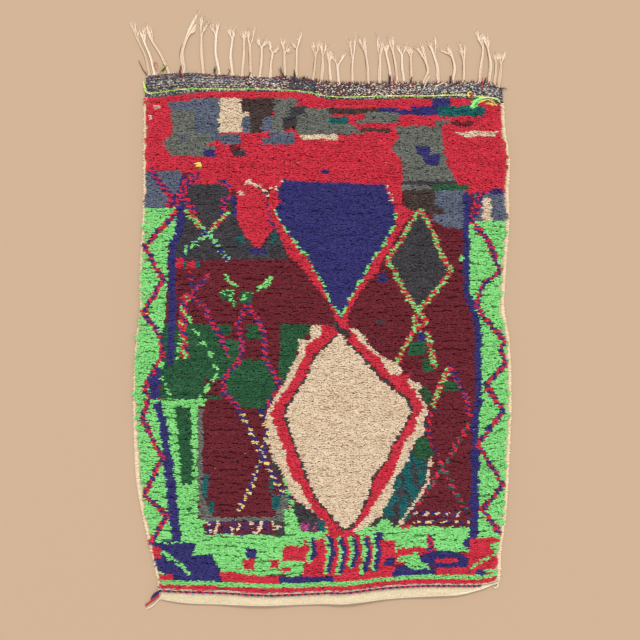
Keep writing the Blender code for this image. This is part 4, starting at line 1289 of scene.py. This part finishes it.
# The lime and yellow twined line, with the stops of its loose end: x and y in centimetres, how
# far it lies above the floor in millimetres, and its share of the full height
Stop = namedtuple("Stop", "x y foot share")
LIME_START, LIME_END = -43.6, 43.4
LIME_RADIUS, LIME_PITCH = 1.5 * MM, 14 * MM
LIME_TAIL = [Stop(-44.6, 62.2, 3.0, 1.6), Stop(-45.0, 63.2, 1.0, 2.2), Stop(-45.4, 65.0, 0.0, 1.2)]
LIME_STEPS = 90
LIME_SHADES = ["#72CC4E", "#D3D06A", "#AAD66E", "#DEDCB6"]
LIME_TINT, YELLOW_TINT, PALE_LIME_TINT, PALE_TINT = 0.05, 0.3, 0.55, 0.8
LIME_UNEVEN_FROM = 0.14  # to the right of here it is thick and thin by turns


def lime_line(shift, tree):
    """Two yarns wound about each other along a line of the cloth, and on to their loose end. Their
    colours take over from each other by chance, lime on the left and yellow on the right."""
    line = []
    for k in range(LIME_STEPS + 1):
        x = mix(LIME_END, LIME_START, k / LIME_STEPS) * CM
        line.append(Vector((x, along(END_EDGES, "lime_line", x), SEAT + LIME_RADIUS)))
    chance = random.Random(SEED + 6)
    radii = [
        LIME_RADIUS * (chance.uniform(0.7, 1.7) if point.x > LIME_UNEVEN_FROM else chance.uniform(0.8, 1.15))
        for point in line
    ]
    for stop in LIME_TAIL:
        line.append(Vector((stop.x * CM, stop.y * CM, stop.foot * MM + LIME_RADIUS * stop.share)))
        radii.append(LIME_RADIUS * stop.share)
    line, radii = smooth(line, radii, 3)
    shade = []
    while len(shade) < len(line):
        right = line[len(shade)].x > chance.uniform(0.02, 0.24)
        if right:
            tints = (YELLOW_TINT, PALE_TINT, YELLOW_TINT, PALE_LIME_TINT, PALE_TINT, LIME_TINT)
        else:
            tints = (LIME_TINT, LIME_TINT, PALE_LIME_TINT, PALE_TINT, YELLOW_TINT)
        shade += [chance.choice(tints)] * chance.choice((1, 1, 2, 2, 3))
    material = spun_yarn("lime and yellow twined wool", LIME_SHADES, turns=60.0, apart=True)
    routes = [Route(line, radii, shade[:len(line)])]
    return wound("lime_cord", routes, shift, tree, material, LIME_PITCH, 2.0 * MM)


# The red and navy twined line
END_START, END_END = -40.9, 39.4
END_RADIUS, END_PITCH = 3.1 * MM, 16.5 * MM
END_CLOSER_FROM = 0.18  # to the right of here its turns are closer and thinner
TURN_BENDS = [
    Bend((-5.0, 0.5, -1.0), (0, -0.6, 4.6), (5.0, 0.5, -1.0)),
    Bend((-4.7, 0.2, -1.0), (0.4, 0.4, 4.9), (5.2, -0.3, -1.0)),
]
TURN_THICKNESS = [(0.0, 0.5), (0.5, 1.0), (1.0, 0.5)]
END_SHADES = ["#A62836", "#2C2A57"]
RED_TINT, NAVY_TINT = 0.2, 0.8


def end_turns(shift):
    """The twined line at the hem: two yarns that come up in turns, closer to the right."""
    chance = random.Random(SEED + 8)
    tree = bends_tree("twined turns", TURN_BENDS, steps=4, sides=6, thickness=TURN_THICKNESS)
    places, headings, shades = [], [], []
    x = END_START * CM
    while x < END_END * CM:
        ahead, here = (along(END_EDGES, "twined_line", at) for at in (x + CM, x))
        places.append(Vector((x, here + chance.uniform(-0.4, 0.4) * MM, SEAT + 2.4 * MM)) + shift)
        headings.append(math.atan2(ahead - here, CM) + chance.uniform(-0.12, 0.12))
        shades.append(RED_TINT if len(shades) % 2 else NAVY_TINT)
        x += END_PITCH * chance.uniform(0.45, 0.55) * (0.78 if x > END_CLOSER_FROM else 1.0)
    sizes = [chance.uniform(0.85, 1.1) * (0.88 if place.x > END_CLOSER_FROM else 1.0) for place in places]
    material = spun_yarn("red and navy twined wool", END_SHADES, turns=3.0, apart=True)
    return bent_yarns(
        "end_cord", tree, material, END_RADIUS, places, shade=shades, heading=headings, size=sizes)


# The fringe: where the strip that holds it lies past the cloth's edge, how far up to its fork a
# bundle bends, its warps, and the radii and heights along a warp, a fray and a bundle's painted shadow
STRIP_OFF = 4.4 * MM
KNEE_SHARE = 0.55
TIPS_APART = 0.85  # a share of what the table says, since the loops are wide
Strands = namedtuple("Strands", "warps half_width")
THIN, THICK = Strands(5, 0.21 * CM), Strands(9, 0.4 * CM)
WARP_RADII = [r * MM for r in (1.2, 1.35, 1.4, 1.35, 1.3, 1.2, 1.0)]
FRAY_RADII = [0.8 * MM, 0.7 * MM, 0.45 * MM]
SHADOW_THREAD_RADII = [0.7 * MM, 0.8 * MM, 0.8 * MM, 0.7 * MM, 0.4 * MM]
FRAYS = 8  # at the end of each warp
STUBS = 190
# the first, darkest shade colours the painted shadow thread beside each bundle
FRINGE_SHADES = ["#7D6046", "#BDA184", "#CBB29A", "#E0D1C0"]


def cloth_edge(x, level):
    """A point just inside the cloth's upper edge."""
    return Vector((x, along(END_EDGES, "ground_top", x) - 1 * MM, level))


def frays(line, heading, chance):
    """Hairs that leave a warp's last stretch, more or less the way it runs."""
    hairs = []
    for _ in range(FRAYS):
        start = line[-1 - chance.randrange(9)]
        turn = heading + chance.gauss(0, 0.24)
        length = chance.uniform(7, 19) * MM
        end = start + Vector((math.cos(turn), math.sin(turn), 0)) * length
        bow = Vector((-math.sin(turn), math.cos(turn), 0)) * length * chance.uniform(-0.25, 0.25)
        end.z = 0.6 * MM
        curl, radii = smooth([start, start.lerp(end, 0.5) + bow, end], FRAY_RADII, 3)
        hairs.append(Route(curl, radii, chance.uniform(0.3, 0.97)))
    return hairs


Course = namedtuple("Course", "root knee fork tips half_width")


def bundle_course(bundle, half_width):
    """Where a bundle is rooted, bends, forks and ends, and half the width that its warps take."""
    edge = along(END_EDGES, "ground_top", bundle.root * CM)
    root = Vector((bundle.root * CM, edge + STRIP_OFF, 0))
    fork = root + Vector((bundle.fork_dx * CM, bundle.fork_up * CM, 0))
    knee = root + Vector((bundle.knee_dx * CM, bundle.fork_up * KNEE_SHARE * CM, 0))
    tips = [
        root + Vector((mix(bundle.fork_dx, dx, TIPS_APART) * CM, up * CM, 0))
        for dx, up in ((bundle.left_dx, bundle.left_up), (bundle.right_dx, bundle.right_up))
    ]
    return Course(root, knee, fork, tips, half_width)


def fringe_warp(course, side, reach, tone, chance):
    """A bundle's warp, at a side of it from -1 to 1, from the cloth's edge to the frayed loop that
    it ends in; and its frays."""
    root, knee, fork, tips, half_width = course
    spread = Vector((half_width, 0, 0))
    order = side + chance.uniform(-0.35, 0.35)
    foot = Vector((root.x + reach * side, 0, 0))
    foot.y = along(END_EDGES, "ground_top", foot.x) - 1 * MM
    tip = tips[0] if side < chance.uniform(-0.2, 0.2) else tips[1]
    loop = tip + Vector((chance.uniform(-0.3, 0.3), chance.uniform(-1.0, 0.2), 0)) * CM
    stops = [
        foot,
        foot.lerp(root, 0.55) + Vector((0, 1.5 * MM, 0)),
        root.lerp(knee, 0.35) + spread * order,
        knee + spread * (order * 0.85 + chance.uniform(-0.2, 0.2)),
        fork + spread * (side * 0.7 + chance.uniform(-0.25, 0.25)),
        fork.lerp(tip, 0.5) + spread * (side + chance.uniform(-0.7, 0.7)),
        loop,
    ]
    high = 1.6 * MM + chance.uniform(0, 1.6) * MM
    for stop, level in zip(stops, (2.4 * MM, 2.0 * MM, high, high, high, high * 0.85, 1.15 * MM)):
        stop.z = level
    line, radii = smooth(stops, WARP_RADII, 5)
    shade = min(max(tone + chance.uniform(-0.3, 0.3), 0.03), 0.97)
    paler = [min(shade + 0.3 * k / len(line), 0.97) for k in range(len(line))]
    return Route(line, radii, paler), frays(line, math.atan2(tip.y - fork.y, tip.x - fork.x), chance)


def painted_shadow_thread(course):
    """A dark thread along a bundle's left side, up to its fork: the bundle's painted shadow on the floor."""
    root, knee, fork, _, half = course
    stops = [
        root + Vector((-half * 0.9, 1 * MM, 0)), root.lerp(knee, 0.5) - Vector((half * 1.3, 0, 0)),
        knee - Vector((half * 1.5, 0, 0)), knee.lerp(fork, 0.6) - Vector((half * 1.4, 0, 0)), fork]
    for stop in stops:
        stop.z = 0.9 * MM
    return Route(*smooth(stops, SHADOW_THREAD_RADII, 4), 0.0)


def fringe_bundle(number, bundle, chance):
    """A bundle's warps, which gather from the cloth's edge, run side by side, part at its fork and
    end in two frayed loops, with a dark thread along its left side as its painted shadow; and its frays."""
    before = FRINGE[max(number - 1, 0)].root
    after = FRINGE[min(number + 1, len(FRINGE) - 1)].root
    reach = min(max((after - before) / 4, 0.25), 0.42) * CM
    count, half_width = THICK if number == THICK_BUNDLE else THIN
    course = bundle_course(bundle, half_width)
    tone = chance.uniform(0.4, 0.68)
    warps, hairs = [], []
    for k in range(count):
        warp, own_hairs = fringe_warp(course, k / (count - 1) * 2 - 1, reach, tone, chance)
        warps.append(warp)
        hairs += own_hairs
    return warps + [painted_shadow_thread(course)], hairs


def warp_fringe(shift, tree):
    """The warp ends past the band: bundles, their frays, and short stubs between them."""
    chance = random.Random(SEED + 5)
    warps, hairs = [], []
    for number, bundle in enumerate(FRINGE):
        own_warps, own_hairs = fringe_bundle(number, bundle, chance)
        warps += own_warps
        hairs += own_hairs
    left, right = (FRINGE[k].root * CM for k in (0, -1))
    for k in range(STUBS):
        foot = cloth_edge(mix(left, right, (k + chance.random()) / STUBS), 2.2 * MM)
        tip = foot + Vector((chance.uniform(-2, 2), chance.uniform(3.5, 7.5), -1.0)) * MM
        warps.append(Route([foot, tip], [1.0 * MM, 0.7 * MM], chance.uniform(0.2, 0.9)))
    material = spun_yarn("undyed warp yarn", FRINGE_SHADES, turns=12.0)
    return [
        wound("warp_bundles", warps, shift, tree, material, 7 * MM, 5 * MM),
        wound("warp_frays", hairs, shift, tree, material, 9 * MM, 5 * MM),
    ]


# Loose ends of yarn: the colour, the strands side by side, their thickness and height in
# millimetres, and the route in centimetres
Loose = namedtuple("Loose", "tint strands thick high route")
LOOSE_TINTS = [
    "#302B2E", "#6C2836", "#D6C6AB", "#9A9646", "#AE2E3E",
    "#7ED678", "#D8CB5C", "#5E4235", "#2C2A57", "#B9D98A"]
DARK, MAROON_END, PALE, OLIVE, RED, GREEN, YELLOW, TAN, NAVY, PALE_LIME = range(10)
LOOSE_ENDS = [Loose(*row) for row in [
    (MAROON_END, 5, 0.9, 5.5, [(-35.6, 65.8), (-36.2, 67.2), (-35.8, 68.8)]),
    (PALE, 3, 0.8, 5.0, [(-35.4, 67.0), (-35.0, 68.6), (-35.6, 69.6)]),
    (DARK, 3, 0.8, 4.5, [(-27.3, 66.4), (-27.6, 67.6), (-27.2, 68.6)]),
    (DARK, 2, 0.7, 4.5, [(-24.2, 66.6), (-23.6, 67.6), (-24.4, 68.2)]),
    (DARK, 3, 0.8, 4.5, [(-19.1, 65.8), (-18.8, 66.6), (-18.6, 67.3)]),
    (DARK, 4, 0.8, 4.5, [(-9.7, 65.6), (-10.6, 66.6), (-11.2, 68.2)]),
    (MAROON_END, 3, 0.8, 4.5, [(-13.0, 65.7), (-11.8, 66.0), (-10.6, 65.9)]),
    (DARK, 6, 0.9, 4.5, [(-7.6, 64.8), (-7.4, 66.2), (-7.6, 67.6)]),
    (DARK, 3, 0.8, 4.5, [(-5.6, 64.8), (-5.2, 65.6), (-5.0, 66.2)]),
    (MAROON_END, 3, 0.8, 5.0, [(-4.6, 65.0), (-3.6, 65.3), (-2.6, 65.0)]),
    (DARK, 5, 0.9, 4.5, [(16.2, 64.2), (16.4, 65.4), (16.3, 66.6)]),
    (RED, 2, 0.7, 4.5, [(17.0, 64.4), (17.4, 65.4), (17.3, 66.4)]),
    (DARK, 3, 0.8, 4.5, [(21.4, 64.4), (21.8, 65.2), (21.9, 66.2)]),
    (PALE, 2, 0.8, 7.0, [(26.2, 66.0), (25.4, 64.4), (24.8, 62.9)]),
    (PALE, 2, 0.8, 7.0, [(30.0, 64.6), (28.4, 63.6), (27.2, 62.6)]),
    (DARK, 5, 0.9, 4.5, [(31.6, 64.4), (31.8, 65.2), (31.6, 66.2)]),
    (DARK, 4, 0.9, 4.5, [(39.8, 64.2), (40.3, 65.0), (40.4, 65.8)]),
    (RED, 1, 0.9, 7.5, [(39.7, 65.4), (39.9, 63.6), (39.8, 62.2)]),
    (DARK, 2, 0.7, 3.5, [(44.0, 63.0), (44.9, 63.3), (45.6, 63.0)]),
    (OLIVE, 6, 0.8, 4.0, [(-41.3, 67.2), (-40.6, 68.2), (-39.6, 68.8)]),
    (DARK, 3, 0.7, 4.0, [(-40.6, 67.6), (-39.8, 68.6), (-40.4, 69.0)]),
    (RED, 1, 0.8, 3.5, [(-41.9, 67.8), (-43.0, 68.8), (-42.2, 69.6), (-41.6, 68.6)]),
    (TAN, 2, 0.7, 2.0, [(-44.6, 66.6), (-45.4, 68.0), (-46.6, 70.2)]),
    (YELLOW, 3, 0.9, 7.5, [(36.2, 61.0), (35.9, 62.0), (36.8, 62.2)]),
    (RED, 2, 0.9, 8.0, [(36.6, 60.9), (37.4, 61.8), (36.8, 60.6)]),
    (GREEN, 5, 1.2, 10.5, [(36.8, 58.2), (37.8, 59.8), (39.4, 60.5)]),
    (PALE_LIME, 3, 0.9, 10.0, [(38.8, 60.5), (41.2, 60.8), (43.4, 60.2), (44.0, 59.4)]),
    (YELLOW, 2, 0.9, 11.5, [(38.6, 59.4), (40.6, 60.0), (42.2, 59.4), (43.2, 58.6)]),
    (RED, 2, 0.9, 12.0, [(38.4, 59.0), (40.4, 59.8), (42.4, 59.3), (44.8, 57.8)]),
    (TAN, 1, 0.6, 11.5, [(-27.2, -9.8), (-26.6, -11.6), (-26.2, -13.6)]),
    (PALE, 4, 0.9, 2.0, [(41.0, -61.9), (42.6, -61.0), (43.7, -60.9), (43.2, -62.0), (42.4, -61.8)]),
    (PALE, 3, 1.0, 6.0, [(28.0, -64.0), (33.0, -63.6), (37.0, -62.9), (40.0, -61.9), (43.2, -60.6)]),
    (NAVY, 6, 1.1, 4.0, [(-40.9, -62.8), (-41.7, -63.2), (-42.5, -63.9), (-43.3, -64.7)]),
    (RED, 5, 1.1, 3.0, [(-41.0, -63.3), (-42.1, -64.4), (-43.2, -65.4), (-44.8, -66.5)]),
    (DARK, 1, 0.6, 2.0, [(-43.2, -65.0), (-44.2, -65.9), (-45.0, -66.3)]),
    (PALE, 3, 0.8, 2.0, [(-40.6, -63.9), (-41.6, -65.2), (-43.0, -66.4), (-44.8, -67.5)]),
]]
BAND_FUZZ = 320  # short dark ends that stand out of the band's upper edge


def loose_ends(shift, tree):
    """Stray ends of weft and pile yarn along the band and at the corners."""
    chance = random.Random(SEED + 7)
    routes = []
    for end in LOOSE_ENDS:
        for _ in range(end.strands):
            line = [
                Vector((x + chance.gauss(0, 0.14), y + chance.gauss(0, 0.14), 0)) * CM
                + Vector((0, 0, end.high + chance.uniform(0, 1))) * MM
                for x, y in end.route
            ]
            radii = [end.thick * MM] * (len(line) - 1) + [end.thick * 0.5 * MM]
            routes.append(Route(*smooth(line, radii, 4), (end.tint + 0.5) / len(LOOSE_TINTS)))
    for _ in range(BAND_FUZZ):
        x = chance.uniform(-12, 43) * CM
        foot = cloth_edge(x, chance.uniform(2.5, 4.5) * MM)
        tip = foot + Vector((chance.uniform(-3, 3), chance.uniform(2, 9), chance.uniform(-1, 1))) * MM
        tint = chance.choice((DARK, DARK, DARK, MAROON_END, TAN))
        routes.append(Route([foot, tip], [0.8 * MM, 0.4 * MM], (tint + 0.5) / len(LOOSE_TINTS)))
    material = spun_yarn("loose wool ends", LOOSE_TINTS, turns=6.0, apart=True)
    return wound("loose_ends", routes, shift, tree, material, 9 * MM, 3 * MM)


FLOOR_REACH = 4.0
FLOOR_PAINT = "#A2886F"
SKY_STRENGTH = 1.25
SUN_STRENGTH = 2.35
SUN_WIDTH = math.radians(14)
SUN_FROM = Vector((0.2, 1.0, 0.95))


def stage_and_light():
    """A plain pale floor, an even white sky, and one soft key light from past the fringe."""
    mesh = bpy.data.meshes.new("floor")
    corners = [(x * FLOOR_REACH, y * FLOOR_REACH, 0) for x, y in ((-1, -1), (1, -1), (1, 1), (-1, 1))]
    mesh.from_pydata(corners, [], [(0, 1, 2, 3)])
    paint = bpy.data.materials.new("pale matte floor")
    paint.use_nodes = True
    surface = paint.node_tree.nodes["Principled BSDF"]
    surface.inputs["Base Color"].default_value = linear(FLOOR_PAINT)
    surface.inputs["Roughness"].default_value = 0.8
    mesh.materials.append(paint)
    floor = added("floor", mesh)
    world = bpy.data.worlds.new("soft studio")
    bpy.context.scene.world = world
    world.use_nodes = True
    sky = world.node_tree.nodes["Background"]
    sky.inputs["Color"].default_value = (1.0, 1.0, 1.0, 1.0)
    sky.inputs["Strength"].default_value = SKY_STRENGTH
    sun = bpy.data.lights.new("key light", "SUN")
    sun.energy = SUN_STRENGTH
    sun.angle = SUN_WIDTH
    key = added("key light", sun)
    key.rotation_mode = "QUATERNION"
    key.rotation_quaternion = SUN_FROM.to_track_quat("Z", "Y")


def camera_above():
    data = bpy.data.cameras.new("camera")
    data.lens = LENS
    data.sensor_width = SENSOR
    camera = added("camera", data)
    camera.location = (*VIEW_CENTRE, VIEW_WIDTH * LENS / SENSOR + PILE_LEVEL)
    bpy.context.scene.camera = camera
    bpy.context.scene.view_settings.view_transform = "Standard"


def main():
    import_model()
    shift = place_on_model()
    camera_above()
    stage_and_light()
    floats = bends_tree("weft floats", FLOAT_BENDS, steps=2, sides=3, thickness=FLOAT_THICKNESS)
    cord = plies_tree("two-ply cord", plies=2, sides=5)
    single = plies_tree("single yarn", plies=1, sides=4)
    cloth, area = woven_ground(shift)
    pile = knotted_pile(shift)
    woven = [
        cloth, kilim_band(shift, floats), plain_hem(shift, floats), selvedges(shift),
        loose_ends(shift, single)]
    parts = [
        (pile, "knotted_pile", "pile_yarn"),
        (woven, "ground_weave", "woven_ground"),
        (warp_fringe(shift, single), "warp_fringe", "warp_yarn"),
        ([lime_line(shift, cord)], "lime_twining", "lime_yarn"),
        ([end_turns(shift)], "end_twining", "twined_yarn"),
    ]
    for pieces, part, slot in parts:
        for piece in pieces:
            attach(piece, "root")
            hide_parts(part)


main()
